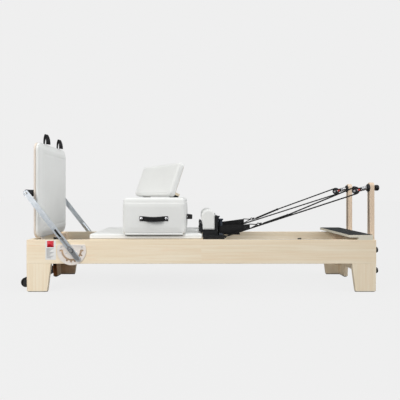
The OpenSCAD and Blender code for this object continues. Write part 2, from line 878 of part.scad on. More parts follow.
pulley_sheave(riser_y);  // pulley_sheave_far
jump_board_panel();
jump_board_pad();
jump_board_straps();
carriage_board();
carriage_pad();
carriage_chassis();
head_deck();
headrest_board();
headrest_pad();
strap_pegs();
wheels(wheel_x[0]);  // foot_wheels
wheels(wheel_x[1]);  // head_wheels
springs();
ropes();
strap_loops();
strap_rings();
snap_hooks();
shoulder_cradle();  // shoulder_cradle_near
mirror([0, 1, 0]) shoulder_cradle();  // shoulder_cradle_far
shoulder_pad();  // shoulder_pad_near
mirror([0, 1, 0]) shoulder_pad();  // shoulder_pad_far
box_core();
box_cover();
box_handles();
extender_board();
extender_pad();
platform_board();
platform_grip();
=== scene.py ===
"""Looks of a pilates reformer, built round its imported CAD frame.

Metres, in the frame of the CAD model: +X runs from the foot end to the head end, +Z is up.
Timber, metal and plastic parts keep their CAD shape and get materials and soft edges here.
Upholstery, webbing, ropes, springs and foam are built here and stand for their CAD solids.
"""
import json
import math

import bmesh
import bpy
import numpy as np
from mathutils import Matrix, Vector


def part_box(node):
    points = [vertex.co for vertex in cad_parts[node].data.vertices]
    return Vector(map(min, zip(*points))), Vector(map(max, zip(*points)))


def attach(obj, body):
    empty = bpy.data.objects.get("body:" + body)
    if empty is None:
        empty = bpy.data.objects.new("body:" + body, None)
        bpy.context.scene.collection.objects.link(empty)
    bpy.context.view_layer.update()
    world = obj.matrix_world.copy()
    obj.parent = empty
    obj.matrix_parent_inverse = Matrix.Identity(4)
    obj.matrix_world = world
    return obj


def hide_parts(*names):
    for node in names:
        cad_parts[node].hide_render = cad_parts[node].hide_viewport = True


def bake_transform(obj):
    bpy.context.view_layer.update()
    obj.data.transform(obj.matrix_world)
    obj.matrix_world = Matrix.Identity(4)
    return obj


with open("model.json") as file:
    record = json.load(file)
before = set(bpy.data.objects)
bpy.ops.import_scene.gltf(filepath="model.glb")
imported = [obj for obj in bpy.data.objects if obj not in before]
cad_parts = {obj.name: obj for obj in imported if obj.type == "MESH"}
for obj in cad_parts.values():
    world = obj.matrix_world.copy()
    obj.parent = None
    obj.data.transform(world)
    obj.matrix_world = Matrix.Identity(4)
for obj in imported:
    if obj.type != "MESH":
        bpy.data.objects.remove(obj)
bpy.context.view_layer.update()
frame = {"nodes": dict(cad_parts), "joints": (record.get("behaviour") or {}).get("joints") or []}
NODES = frame["nodes"]
JOINTS = {joint["name"]: joint for joint in frame["joints"]}
MM = 0.001
X_AXIS = Vector((1, 0, 0))
Y_AXIS = Vector((0, 1, 0))
Z_AXIS = Vector((0, 0, 1))
SIDES = {"near": -1, "far": 1}           # the two sides of the bed, by the sign of y


def joint_place(name):
    return Vector(JOINTS[name]["pos_m"])


def joint_axis(name):
    return Vector(JOINTS[name]["axis"]).normalized()


def in_mm(*pairs):
    """Pairs of lengths written in millimetres, as metres."""
    return [(a * MM, b * MM) for a, b in pairs]


def put(target, **values):
    """Sets several attributes of one Blender item."""
    for key, value in values.items():
        setattr(target, key, value)
    return target


def add_object(name, data):
    made = bpy.data.objects.new(name, data)
    bpy.context.scene.collection.objects.link(made)
    return made


def hang(piece, body, slot):
    """Lets a piece move with its CAD body; slot is not used."""
    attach(piece, body)
    return piece


# ---------------------------------------------------------------- materials

def tone(red, green, blue):
    """Display colour in 0 to 255 steps, as the linear colour that shaders take."""
    def linear(value):
        value /= 255
        return value / 12.92 if value <= 0.04045 else ((value + 0.055) / 1.055) ** 2.4
    return (linear(red), linear(green), linear(blue), 1.0)


class Shader:
    """A procedural material: one Principled surface and short calls for the nodes that feed it."""

    def __init__(self, name, roughness=0.5, metallic=0.0, specular=0.5):
        self.material = bpy.data.materials.new(name)
        self.material.use_nodes = True
        self.tree = self.material.node_tree
        self.surface = self.tree.nodes["Principled BSDF"]
        self.set("Metallic", metallic)
        self.set("Roughness", roughness)
        self.set("Specular IOR Level", specular)
        coordinates = self.tree.nodes.new("ShaderNodeTexCoord")
        self.place = coordinates.outputs["Object"]
        self.facing = coordinates.outputs["Normal"]
        self.uv = coordinates.outputs["UV"]
        self.normal = None

    def plug(self, socket, value):
        if isinstance(value, bpy.types.NodeSocket):
            self.tree.links.new(value, socket)
        else:
            socket.default_value = value

    def node(self, kind, inputs, **settings):
        made = put(self.tree.nodes.new("ShaderNode" + kind), **settings)
        for key, value in inputs.items():
            self.plug(made.inputs[key], value)
        return made

    def vector(self, operation, a, b):
        made = self.node("VectorMath", {0: a, 1: b}, operation=operation)
        return made.outputs["Value" if operation in ("DOT_PRODUCT", "LENGTH") else "Vector"]

    def maths(self, operation, a, b=0.0):
        return self.node("Math", {0: a, 1: b}, operation=operation).outputs[0]

    def noise(self, vector, scale=1.0, detail=3.0, roughness=0.5):
        inputs = {"Vector": vector, "Scale": scale, "Detail": detail, "Roughness": roughness}
        return self.node("TexNoise", inputs).outputs["Fac"]

    def scaled(self, vector, *factors):
        """The vector times one factor for each axis."""
        return self.vector("MULTIPLY", vector, factors)

    def along(self, vector, axis):
        """How far the vector reaches along an axis."""
        return self.vector("DOT_PRODUCT", vector, tuple(axis))

    def cells(self, vector, scale, result="Distance"):
        return self.node("TexVoronoi", {"Vector": vector, "Scale": scale}).outputs[result]

    def between(self, value, low, high, to_low=0.0, to_high=1.0):
        inputs = {"Value": value, "From Min": low, "From Max": high, "To Min": to_low, "To Max": to_high}
        return self.node("MapRange", inputs).outputs["Result"]

    def mix(self, share, a, b, mode="MIX"):
        made = self.node("Mix", {0: share, 6: a, 7: b}, data_type="RGBA", blend_type=mode)
        return made.outputs[2]

    def axes(self, along, across, through):
        """Coordinates measured along three directions of the piece."""
        parts = {i: self.along(self.place, axis) for i, axis in enumerate((along, across, through))}
        return self.node("CombineXYZ", parts).outputs[0]

    def edges(self, radius):
        """1 on convex and concave edges, 0 on flat ground."""
        rounded = self.node("Bevel", {"Radius": radius}, samples=4).outputs[0]
        flat = self.node("NewGeometry", {}).outputs["Normal"]
        return self.between(self.vector("DOT_PRODUCT", rounded, flat), 0.995, 0.9)

    def worn_and_highlit_edges(self, base, radius, share, bright):
        """Base colour with a share of a brighter one on its edges, for worn edges and for a painted edge
        highlight.
        """
        return self.mix(self.maths("MULTIPLY", self.edges(radius), share), base, bright)

    def set(self, socket, value):
        self.plug(self.surface.inputs[socket], value)

    def bump(self, height, depth):
        """Adds relief of the given depth in metres."""
        inputs = {"Height": height, "Distance": depth, "Strength": 1.0}
        if self.normal is not None:
            inputs["Normal"] = self.normal
        self.normal = self.node("Bump", inputs).outputs[0]
        self.set("Normal", self.normal)


STAVE = 54 * MM              # width of the strips a solid board is glued up from
PLY = 1.6 * MM               # thickness of one veneer of the plywood


def deeper(colour):
    """The same colour, a fifth darker."""
    return tuple(0.8 * c for c in colour[:3]) + (1.0,)


def timber(name, grain, across, pale, dark, red):
    """Clear satin timber: glued staves, drifting tone, growth figure, pores, paler worn arrises."""
    s = Shader(name, roughness=0.46, specular=0.35)
    through = grain.cross(across)
    flow = s.axes(grain, across, through)
    stave = s.vector("SNAP", s.scaled(flow, 0.0, 1.0, 1.0), (9.0, STAVE, 9.0))
    chance = s.node("TexWhiteNoise", {"Vector": stave}, noise_dimensions="3D").outputs
    shifted = s.vector("ADD", flow, s.scaled(chance["Color"], 3.0, 0.4, 0.4))
    drift = s.noise(s.scaled(shifted, 1.1, 9.0, 9.0), 1.0, 2.0)
    figure = s.noise(s.scaled(shifted, 2.2, 62.0, 62.0), 1.0, 5.0, 0.62)
    flame = s.noise(s.scaled(shifted, 5.0, 30.0, 30.0), 1.0, 2.0)
    pores = s.noise(s.scaled(flow, 40.0, 1400.0, 1400.0), 1.0, 1.0)
    base = s.mix(s.between(figure, 0.38, 0.74), pale, dark)
    base = s.mix(s.between(drift, 0.35, 0.85, 0.0, 0.55), base, dark)
    base = s.mix(s.between(flame, 0.62, 0.82, 0.0, 0.45), base, red)
    base = s.mix(s.between(chance["Value"], 0.0, 1.0, 0.0, 0.16), base, red)
    base = s.mix(s.between(pores, 0.62, 0.8, 0.0, 0.35), base, dark, "MULTIPLY")
    s.set("Base Color", s.worn_and_highlit_edges(base, 1.5 * MM, 0.3, pale))
    s.set("Roughness", s.between(figure, 0.2, 0.8, 0.4, 0.54))
    s.bump(figure, 0.05 * MM)
    s.bump(pores, 0.04 * MM)
    return s.material


def plywood(name, grain, across, pale, dark):
    """Birch plywood: veneer faces, and edges striped by crossed plies."""
    s = Shader(name, roughness=0.5, specular=0.3)
    through = grain.cross(across)
    flow = s.axes(grain, across, through)
    figure = s.noise(s.scaled(flow, 3.0, 45.0, 45.0), 1.0, 5.0, 0.6)
    fibres = s.noise(s.scaled(flow, 60.0, 900.0, 900.0), 1.0, 1.0)
    face = s.mix(s.between(figure, 0.35, 0.75), pale, dark)
    depth = s.along(s.place, through)
    stripe = s.maths("SINE", s.maths("MULTIPLY", depth, math.pi / PLY))
    plies = s.mix(s.between(stripe, -0.25, 0.25), pale, deeper(dark))
    plies = s.mix(s.between(fibres, 0.4, 0.7, 0.0, 0.4), plies, dark)
    on_face = s.maths("ABSOLUTE", s.along(s.facing, through))
    s.set("Base Color", s.mix(s.between(on_face, 0.6, 0.8), plies, face))
    s.bump(figure, 0.05 * MM)
    s.bump(fibres, 0.05 * MM)
    return s.material


def metal(name, colour, second_tone, roughness, brush, mottle=0.0, metallic=1.0):
    """Bare metal brushed along one direction, with cloudy tone and a painted highlight on its edges."""
    s = Shader(name, roughness, metallic)
    side = brush.cross(Z_AXIS if abs(brush.z) < 0.9 else X_AXIS).normalized()
    flow = s.axes(brush, side, brush.cross(side))
    lines = s.noise(s.scaled(flow, 25.0, 1600.0, 1600.0), 1.0, 2.0)
    cloud = s.noise(s.place, 34.0, 4.0, 0.65)
    spangle = s.cells(s.place, 130.0, "Color")
    patch = s.along(spangle, (0.4, 0.3, 0.3))
    base = s.mix(s.between(cloud, 0.3, 0.75), colour, second_tone)
    base = s.mix(s.maths("MULTIPLY", patch, mottle), base, second_tone)
    # near-white painted highlight on the edges
    s.set("Base Color", s.worn_and_highlit_edges(base, 1.2 * MM, 0.6, tone(236, 237, 238)))
    s.set("Roughness", s.between(lines, 0.3, 0.7, roughness - 0.08, roughness + 0.1))
    s.bump(lines, 0.02 * MM)
    return s.material


def moulding(name, colour, second_tone, roughness=0.5, grain=1500.0, relief=0.05 * MM):
    """Moulded plastic, rubber or painted steel: fine texture, scuffs in the second tone, and a painted
    highlight on its edges in the same tone.
    """
    s = Shader(name, roughness, specular=0.4)
    texture = s.noise(s.place, grain, 2.0)
    scuff = s.noise(s.place, 55.0, 4.0, 0.7)
    base = s.mix(s.between(scuff, 0.45, 0.8, 0.0, 0.5), colour, second_tone)
    # painted highlight: the edges take a share of the second tone
    s.set("Base Color", s.worn_and_highlit_edges(base, 1.0 * MM, 0.55, second_tone))
    s.set("Roughness", s.between(scuff, 0.3, 0.8, roughness - 0.06, roughness + 0.12))
    s.bump(texture, relief)
    return s.material


def vinyl(name, colour, shade, roughness=0.48):
    """Upholstery vinyl: pebbled leather grain, soft creases, faint tone drift and sheen."""
    s = Shader(name, roughness, specular=0.35)
    wobble = s.node("TexNoise", {"Vector": s.place, "Scale": 260.0, "Detail": 1.0}).outputs["Color"]
    bent = s.vector("ADD", s.place, s.scaled(wobble, 0.0016, 0.0016, 0.0016))
    pebble = s.cells(bent, 620.0)
    crease = s.noise(s.place, 24.0, 5.0, 0.6)
    drift = s.noise(s.place, 5.0, 3.0)
    base = s.mix(s.between(drift, 0.3, 0.75), colour, shade)
    base = s.mix(s.between(pebble, 0.0, 0.25, 0.12, 0.0), base, deeper(shade))
    s.set("Base Color", base)
    s.set("Roughness", s.between(crease, 0.3, 0.75, roughness - 0.07, roughness + 0.08))
    s.set("Sheen Weight", 0.06)
    s.bump(pebble, 0.12 * MM)
    s.bump(crease, 0.5 * MM)
    return s.material


def webbing(name, colour, glint, sheen):
    """Woven strap: over-and-under ribs along and across its UV grid, whose units are metres."""
    s = Shader(name, 0.72, specular=0.25)
    rib = s.scaled(s.uv, 2 * math.pi / (2.2 * MM), 2 * math.pi / (1.6 * MM), 0.0)
    parts = s.node("SeparateXYZ", {0: rib}).outputs
    weave = s.maths("MULTIPLY", s.maths("SINE", parts[0]), s.maths("SINE", parts[1]))
    fuzz = s.noise(s.place, 900.0, 2.0)
    # the raised ribs take up to half of the glint colour: a painted highlight on the weave
    s.set("Base Color", s.mix(s.between(weave, 0.2, 1.0, 0.0, 0.5), colour, s.mix(fuzz, colour, glint)))
    s.set("Sheen Weight", sheen)
    s.bump(weave, 0.25 * MM)
    s.bump(fuzz, 0.08 * MM)
    return s.material


def foam(name, colour, shade):
    """Closed-cell foam sleeve: open pores and pressed patches."""
    s = Shader(name, 0.85, specular=0.2)
    pores = s.cells(s.place, 900.0)
    pressed = s.noise(s.place, 30.0, 3.0)
    s.set("Base Color", s.mix(s.between(pores, 0.1, 0.5), shade, s.mix(pressed, colour, shade)))
    s.bump(pores, 0.2 * MM)
    return s.material


def grit(name, colour, fleck):
    """Non-slip mat: dark ground with mineral specks."""
    s = Shader(name, 0.82, specular=0.3)
    grains = s.cells(s.place, 700.0)
    wear = s.noise(s.place, 18.0, 4.0)
    specks = s.between(s.noise(s.place, 1300.0, 1.0), 0.58, 0.7)
    base = s.mix(s.maths("MULTIPLY", specks, 0.5), colour, fleck)
    s.set("Base Color", s.mix(s.between(wear, 0.5, 0.8, 0.0, 0.3), base, fleck))
    s.bump(grains, 0.35 * MM)
    return s.material


def hubbed(name, joint, tyre, hub, hub_radius):
    """Wheel turning about y at its joint: tyre colour outside the hub radius, hub colour inside."""
    s = Shader(name, 0.55, specular=0.4)
    axle = joint_place(joint)
    offset = s.scaled(s.vector("SUBTRACT", s.place, tuple(axle)), 1.0, 0.0, 1.0)
    radius = s.vector("LENGTH", offset, (0, 0, 0))
    grime = s.noise(s.place, 90.0, 4.0, 0.6)
    base = s.mix(s.between(radius, hub_radius - 0.3 * MM, hub_radius + 0.3 * MM), hub, tyre)
    s.set("Base Color", s.mix(s.between(grime, 0.45, 0.8, 0.0, 0.4), base, tone(96, 94, 90)))
    s.set("Roughness", s.between(grime, 0.3, 0.8, 0.42, 0.7))
    s.bump(s.noise(s.place, 1200.0, 2.0), 0.06 * MM)
    return s.material


MAPLE = (tone(247, 236, 214), tone(236, 218, 188), tone(240, 210, 176))
BEECH = (tone(244, 225, 203), tone(222, 199, 173), tone(225, 192, 164))
BIRCH = (tone(236, 224, 202), tone(216, 198, 168))
ASH_EDGE = (tone(240, 236, 222), tone(226, 219, 198))

MATERIALS = {}


def add_material(make, name, *settings):
    MATERIALS[name] = make(name, *settings)


ARM = joint_axis("lock_near_slide")      # the direction of the footbar's arms
PLATE_BRUSH = Vector((1, 0, 0.2)).normalized()

add_material(timber, "rail_timber", X_AXIS, Z_AXIS, *MAPLE)
add_material(timber, "end_timber", Y_AXIS, Z_AXIS, *MAPLE)
add_material(timber, "leg_timber", Z_AXIS, X_AXIS, *MAPLE)
add_material(timber, "post_timber", Z_AXIS, Y_AXIS, *BEECH)
add_material(timber, "block_timber", Z_AXIS, X_AXIS, *BEECH)
add_material(plywood, "panel_ply", Z_AXIS, Y_AXIS, tone(238, 229, 217), tone(224, 210, 196))
add_material(plywood, "flat_ply", X_AXIS, Y_AXIS, *BIRCH)
add_material(plywood, "platform_ply", Y_AXIS, X_AXIS, *ASH_EDGE)
add_material(vinyl, "white_vinyl", tone(232, 233, 231), tone(227, 228, 226))
add_material(vinyl, "black_vinyl", tone(34, 35, 37), tone(26, 27, 29), 0.42)
add_material(webbing, "black_webbing", tone(13, 13, 15), tone(38, 40, 43), 0.08)
add_material(webbing, "black_rope", tone(10, 10, 11), tone(30, 31, 34), 0.04)
add_material(foam, "grip_foam", tone(52, 55, 59), tone(28, 29, 32))
add_material(grit, "grip_mat", tone(20, 27, 29), tone(62, 70, 72))

METALS = {                   # colour, worn colour, roughness, brushed direction, mottle, metallic
    "bolt_zinc": ((196, 197, 199), (222, 223, 224), 0.3, X_AXIS),
    "track_aluminium": ((205, 207, 210), (228, 229, 231), 0.34, X_AXIS),
    # the plate's pinkish tone, almost without metal reflection, is a painted reflection of the wood around
    # it
    "plate_steel": ((226, 217, 209), (240, 234, 228), 0.42, PLATE_BRUSH, 0.2, 0.1),
    # the arms' bluish tint is a painted reflection
    "arm_steel": ((196, 206, 216), (232, 237, 242), 0.36, ARM, 0.55),
    "slider_steel": ((158, 160, 164), (186, 188, 190), 0.34, ARM, 0.2),
    "bright_steel": ((200, 201, 205), (236, 236, 238), 0.2, X_AXIS),
}
MOULDINGS = {                # colour, worn colour that also paints the edge highlight, roughness, grain, relief
    "black_steel": ((20, 21, 23), (48, 50, 54), 0.4, 900.0, 0.03 * MM),
    "chassis_paint": ((42, 43, 46), (82, 82, 84), 0.42, 700.0, 0.08 * MM),
    "black_plastic": ((17, 18, 20), (44, 46, 50), 0.44),
    "slate_plastic": ((34, 40, 50), (84, 96, 112), 0.34),
    # painted shade behind the index plates' slots and notches
    "fibre_sheet": ((206, 178, 150), (220, 196, 170), 0.8),
    "black_rubber": ((18, 18, 20), (42, 42, 45), 0.72, 1000.0, 0.1 * MM),
    "red_plastic": ((206, 62, 48), (224, 120, 104), 0.4),
    "grey_plastic": ((178, 180, 184), (214, 215, 218), 0.4),
    "sheave_nylon": ((50, 51, 54), (104, 105, 108), 0.4),
    "white_thread": ((226, 227, 226), (206, 207, 206), 0.7, 2500.0),
    "grey_thread": ((92, 94, 98), (130, 132, 136), 0.7, 2500.0),
    "label_white": ((240, 240, 238), (222, 222, 220), 0.4),
    "label_red": ((200, 12, 34), (214, 52, 68), 0.4),
    "label_grey": ((168, 172, 180), (188, 190, 196), 0.4),
}
for make, table in ((metal, METALS), (moulding, MOULDINGS)):
    for name, (colour, second_tone, *rest) in table.items():
        add_material(make, name, tone(*colour), tone(*second_tone), *rest)


# ---------------------------------------------------------------- mesh helpers

def make_piece(name, verts, faces, material, uvs=None):
    """New mesh piece in the row frame; uvs has one pair for each face corner."""
    mesh = bpy.data.meshes.new(name)
    mesh.from_pydata([tuple(v) for v in verts], [], faces)
    if uvs is not None:
        layer = mesh.uv_layers.new(name="UVMap")
        for loop, pair in zip(layer.data, uvs):
            loop.uv = pair
    mesh.materials.append(MATERIALS[material])
    mesh.shade_smooth()
    return add_object(name, mesh)


def bake(piece):
    """Makes the result of a piece's modifiers its own mesh."""
    graph = bpy.context.evaluated_depsgraph_get()
    graph.update()
    mesh = bpy.data.meshes.new_from_object(piece.evaluated_get(graph), depsgraph=graph)
    old = piece.data
    piece.modifiers.clear()
    piece.data = mesh
    bpy.data.meshes.remove(old)
    mesh.shade_smooth()


def points_of(piece):
    return np.array([v.co for v in piece.data.vertices], float).reshape(-1, 3)


def side_points(node, side):
    """The vertices of a CAD node that lie on one side of the bed."""
    points = points_of(NODES[node])
    return points[points[:, 1] * side > 0]


def set_points(piece, points):
    piece.data.vertices.foreach_set("co", points.astype(np.float32).ravel())
    piece.data.update()


def join(name, pieces):
    """Several pieces merged into one mesh, each keeping its material."""
    mesh = bpy.data.meshes.new(name)
    merged = bmesh.new()
    for part in pieces:
        start = len(merged.faces)
        merged.from_mesh(part.data)
        merged.faces.ensure_lookup_table()
        material = part.data.materials[0]
        if material.name not in mesh.materials:
            mesh.materials.append(material)
        slot = list(mesh.materials).index(material)
        for face in merged.faces[start:]:
            face.material_index = slot
    merged.to_mesh(mesh)
    merged.free()
    for part in pieces:
        old = part.data
        bpy.data.objects.remove(part)
        bpy.data.meshes.remove(old)
    return add_object(name, mesh)


def ring_faces(rings, count, closed):
    """Quads between successive rings of `count` points."""
    faces = []
    for i in range(rings if closed else rings - 1):
        a, b = i * count, (i + 1) % rings * count
        for j in range(count):
            k = (j + 1) % count
            faces.append((a + j, a + k, b + k, b + j))
    return faces


def end_caps(rings, count):
    """Flat faces that close the first and the last ring."""
    return [tuple(reversed(range(count))), tuple(range((rings - 1) * count, rings * count))]


def sweep(name, path, section, material, up=Y_AXIS, closed=False):
    """Skins a section along a path. section(distance) lists (side, up) offsets; up may turn on the way."""
    path = [Vector(p) for p in path]
    count = len(path)
    distance = [0.0]
    for a, b in zip(path, path[1:]):
        distance.append(distance[-1] + (b - a).length)
    verts, lengths = [], []
    for i, point in enumerate(path):
        before = path[i - 1] if (i or closed) else point
        after = path[(i + 1) % count] if (i + 1 < count or closed) else point
        tangent = (after - before).normalized()
        side = tangent.cross(up(i / (count - 1)) if callable(up) else up).normalized()
        rise = side.cross(tangent)
        offsets = section(distance[i])
        verts += [point + side * a + rise * b for a, b in offsets]
        lengths.append([0.0])
        for (a, b), (c, d) in zip(offsets, offsets[1:] + offsets[:1]):
            lengths[-1].append(lengths[-1][-1] + math.hypot(c - a, d - b))
    ring = len(verts) // count
    faces = ring_faces(count, ring, closed)
    step = distance[-1] / (count - 1)
    uvs = []
    for index in range(len(faces)):
        i, j = divmod(index, ring)
        u0, u1 = distance[i], distance[i] + step
        v0, v1 = lengths[i][j], lengths[i][j + 1]
        uvs += [(u0, v0), (u0, v1), (u1, v1), (u1, v0)]
    if not closed:
        faces += end_caps(count, ring)
        uvs += [(0.0, 0.0)] * (2 * ring)
    return fix_normals(make_piece(name, verts, faces, material, uvs))


def fix_normals(piece):
    """Turns all faces of a closed piece outwards."""
    mesh = bmesh.new()
    mesh.from_mesh(piece.data)
    bmesh.ops.recalc_face_normals(mesh, faces=mesh.faces)
    mesh.to_mesh(piece.data)
    mesh.free()
    return piece


def turns(count):
    """Evenly spaced angles of one full turn."""
    return [2 * math.pi * i / count for i in range(count)]


def round_section(radius, count=10):
    ring = [(radius * math.cos(a), radius * math.sin(a)) for a in turns(count)]
    return lambda distance: ring


def strap_section(height, thickness):
    """Flat strap with rounded selvedges; height may be a function of the distance along it."""
    edge = thickness / 2

    def section(distance):
        half = (height(distance) if callable(height) else height) / 2
        return [(edge * math.cos(a), middle + edge * math.sin(a))
                for middle, start in ((-half + edge, -math.pi), (half - edge, 0))
                for a in np.linspace(start, start + math.pi, 4)]
    return section


def braid_section(radius, pitch=9 * MM, relief=0.09):
    """Round cord whose surface rises and falls with two crossing sets of four strands."""
    def section(distance):
        ring = []
        turn = 2 * math.pi * distance / pitch
        for a in turns(16):
            swell = math.sin(4 * a + turn) * math.sin(4 * a - turn)
            r = radius * (1 - relief + relief * swell)
            ring.append((r * math.cos(a), r * math.sin(a)))
        return ring
    return section


def stack(name, loops, material):
    """Closed solid skinned over a stack of equal loops of points, with flat ends."""
    count = len(loops[0])
    verts = [p for loop in loops for p in loop]
    faces = ring_faces(len(loops), count, False) + end_caps(len(loops), count)
    return fix_normals(make_piece(name, verts, faces, material))


def lathe(name, profile, origin, axis, material, count=40):
    """Turns a profile of (along, radius) pairs about an axis."""
    axis = Vector(axis).normalized()
    side = axis.orthogonal().normalized()
    spokes = [side * math.cos(a) + axis.cross(side) * math.sin(a) for a in turns(count)]
    loops = [[Vector(origin) + axis * along + spoke * max(radius, 1e-5) for spoke in spokes]
             for along, radius in profile]
    return stack(name, loops, material)


def smooth_path(corners, step):
    """Catmull-Rom curve through corner points, in steps of about the given length."""
    corners = [Vector(c) for c in corners]
    ends = [2 * corners[0] - corners[1]] + corners + [2 * corners[-1] - corners[-2]]
    path = []
    for a, b, c, d in zip(ends, ends[1:], ends[2:], ends[3:]):
        count = max(1, round((c - b).length / step))
        for i in range(count):
            t = i / count
            path.append(0.5 * (2 * b + (c - a) * t + (2 * a - 5 * b + 4 * c - d) * t * t
                               + (3 * b - a - 3 * c + d) * t ** 3))
    return path + [corners[-1]]


def line(a, b, step):
    a, b = Vector(a), Vector(b)
    count = max(1, round((b - a).length / step))
    return [a.lerp(b, i / count) for i in range(count + 1)]


def closed_line(corners, step):
    """Straight runs round a closed row of corners, in steps of about the given length."""
    return [p for a, b in zip(corners, corners[1:] + corners[:1]) for p in line(a, b, step)[:-1]]


def outline(width, height, radius, step=5 * MM):
    """Rounded rectangle about the origin, as an even loop of (a, b) pairs."""
    half_w, half_h = width / 2 - radius, height / 2 - radius
    arc = max(3, round(radius * math.pi / 2 / step))
    corners = [(half_w, half_h, 0), (-half_w, half_h, 1), (-half_w, -half_h, 2), (half_w, -half_h, 3)]
    loop = []
    for (x, y, quarter), (x2, y2, _) in zip(corners, corners[1:] + corners[:1]):
        turn = [(quarter + i / arc) * math.pi / 2 for i in range(arc + 1)]
        loop += [(x + radius * math.cos(a), y + radius * math.sin(a)) for a in turn]
        start_x, start_y = loop[-1]
        run_x = x2 + radius * math.cos(turn[-1]) - start_x
        run_y = y2 + radius * math.sin(turn[-1]) - start_y
        count = max(1, round(math.hypot(run_x, run_y) / step))
        loop += [(start_x + run_x * i / count, start_y + run_y * i / count) for i in range(1, count)]
    return loop


# ---------------------------------------------------------------- CAD parts that keep their shape

def finish_cad(material, bevel, *nodes):
    """Gives CAD nodes their material, and softens their edges by a small bevel."""
    for name in nodes:
        node = NODES[name]
        node.data.materials.clear()
        node.data.materials.append(MATERIALS[material])
        put(node.modifiers.new("weld", "WELD"), merge_threshold=0.01 * MM)
        put(node.modifiers.new("soft_edges", "BEVEL"), width=bevel, segments=2, limit_method="ANGLE",
            angle_limit=math.radians(40), harden_normals=False, use_clamp_overlap=True)
        put(node.modifiers.new("even_shading", "WEIGHTED_NORMAL"), keep_sharp=True)


finish_cad("rail_timber", 2 * MM, "side_rails")
finish_cad("end_timber", 2 * MM, "foot_end_board", "head_end_panel")
finish_cad("leg_timber", 2 * MM, "legs")
finish_cad("post_timber", 3 * MM, "riser_posts")
finish_cad("block_timber", 1.5 * MM, "corner_blocks")
finish_cad("flat_ply", 1 * MM, "carriage_board")
finish_cad("flat_ply", 12 * MM, "box_core")
finish_cad("panel_ply", 1 * MM, "jump_board_panel")
finish_cad("platform_ply", 1.2 * MM, "platform_board")
finish_cad("grip_mat", 0.5 * MM, "platform_grip")
finish_cad("black_rubber", 1 * MM, "foot_pads", "track_stops")
finish_cad("bolt_zinc", 0.5 * MM, "frame_bolts", "pivot_bolts")
finish_cad("track_aluminium", 0.4 * MM, "tracks")
finish_cad("chassis_paint", 0.8 * MM, "spring_bar", "carriage_chassis", "jump_board_brackets",
           "transport_wheel_brackets")
finish_cad("plate_steel", 0.6 * MM, "index_plates")
finish_cad("arm_steel", 1.0 * MM, "footbar_arms")
finish_cad("slider_steel", 0.6 * MM, "lock_slider_near", "lock_slider_far")
finish_cad("black_plastic", 1.0 * MM, "riser_washers", "pulley_knobs", "clamp_knob_low_near",
           "clamp_knob_low_far", "clamp_knob_high_near", "clamp_knob_high_far", "pulley_block_near",
           "pulley_block_far", "head_deck", "headrest_board", "shoulder_cradle_near",
           "shoulder_cradle_far")
finish_cad("slate_plastic", 1.0 * MM, "strap_pegs")
finish_cad("sheave_nylon", 0.4 * MM, "pulley_sheave_near", "pulley_sheave_far")
for pair in ("foot_wheels", "head_wheels"):
    add_material(hubbed, pair, pair + "_spin", tone(232, 231, 226), tone(150, 151, 154), 9.5 * MM)
    finish_cad(pair, 0.4 * MM, pair)
for side in SIDES:
    roller = "transport_wheel_" + side
    add_material(hubbed, roller, f"roller_{side}_spin", tone(27, 27, 29), tone(128, 130, 134), 12 * MM)
    finish_cad(roller, 1.0 * MM, roller)


# ---------------------------------------------------------------- upholstery

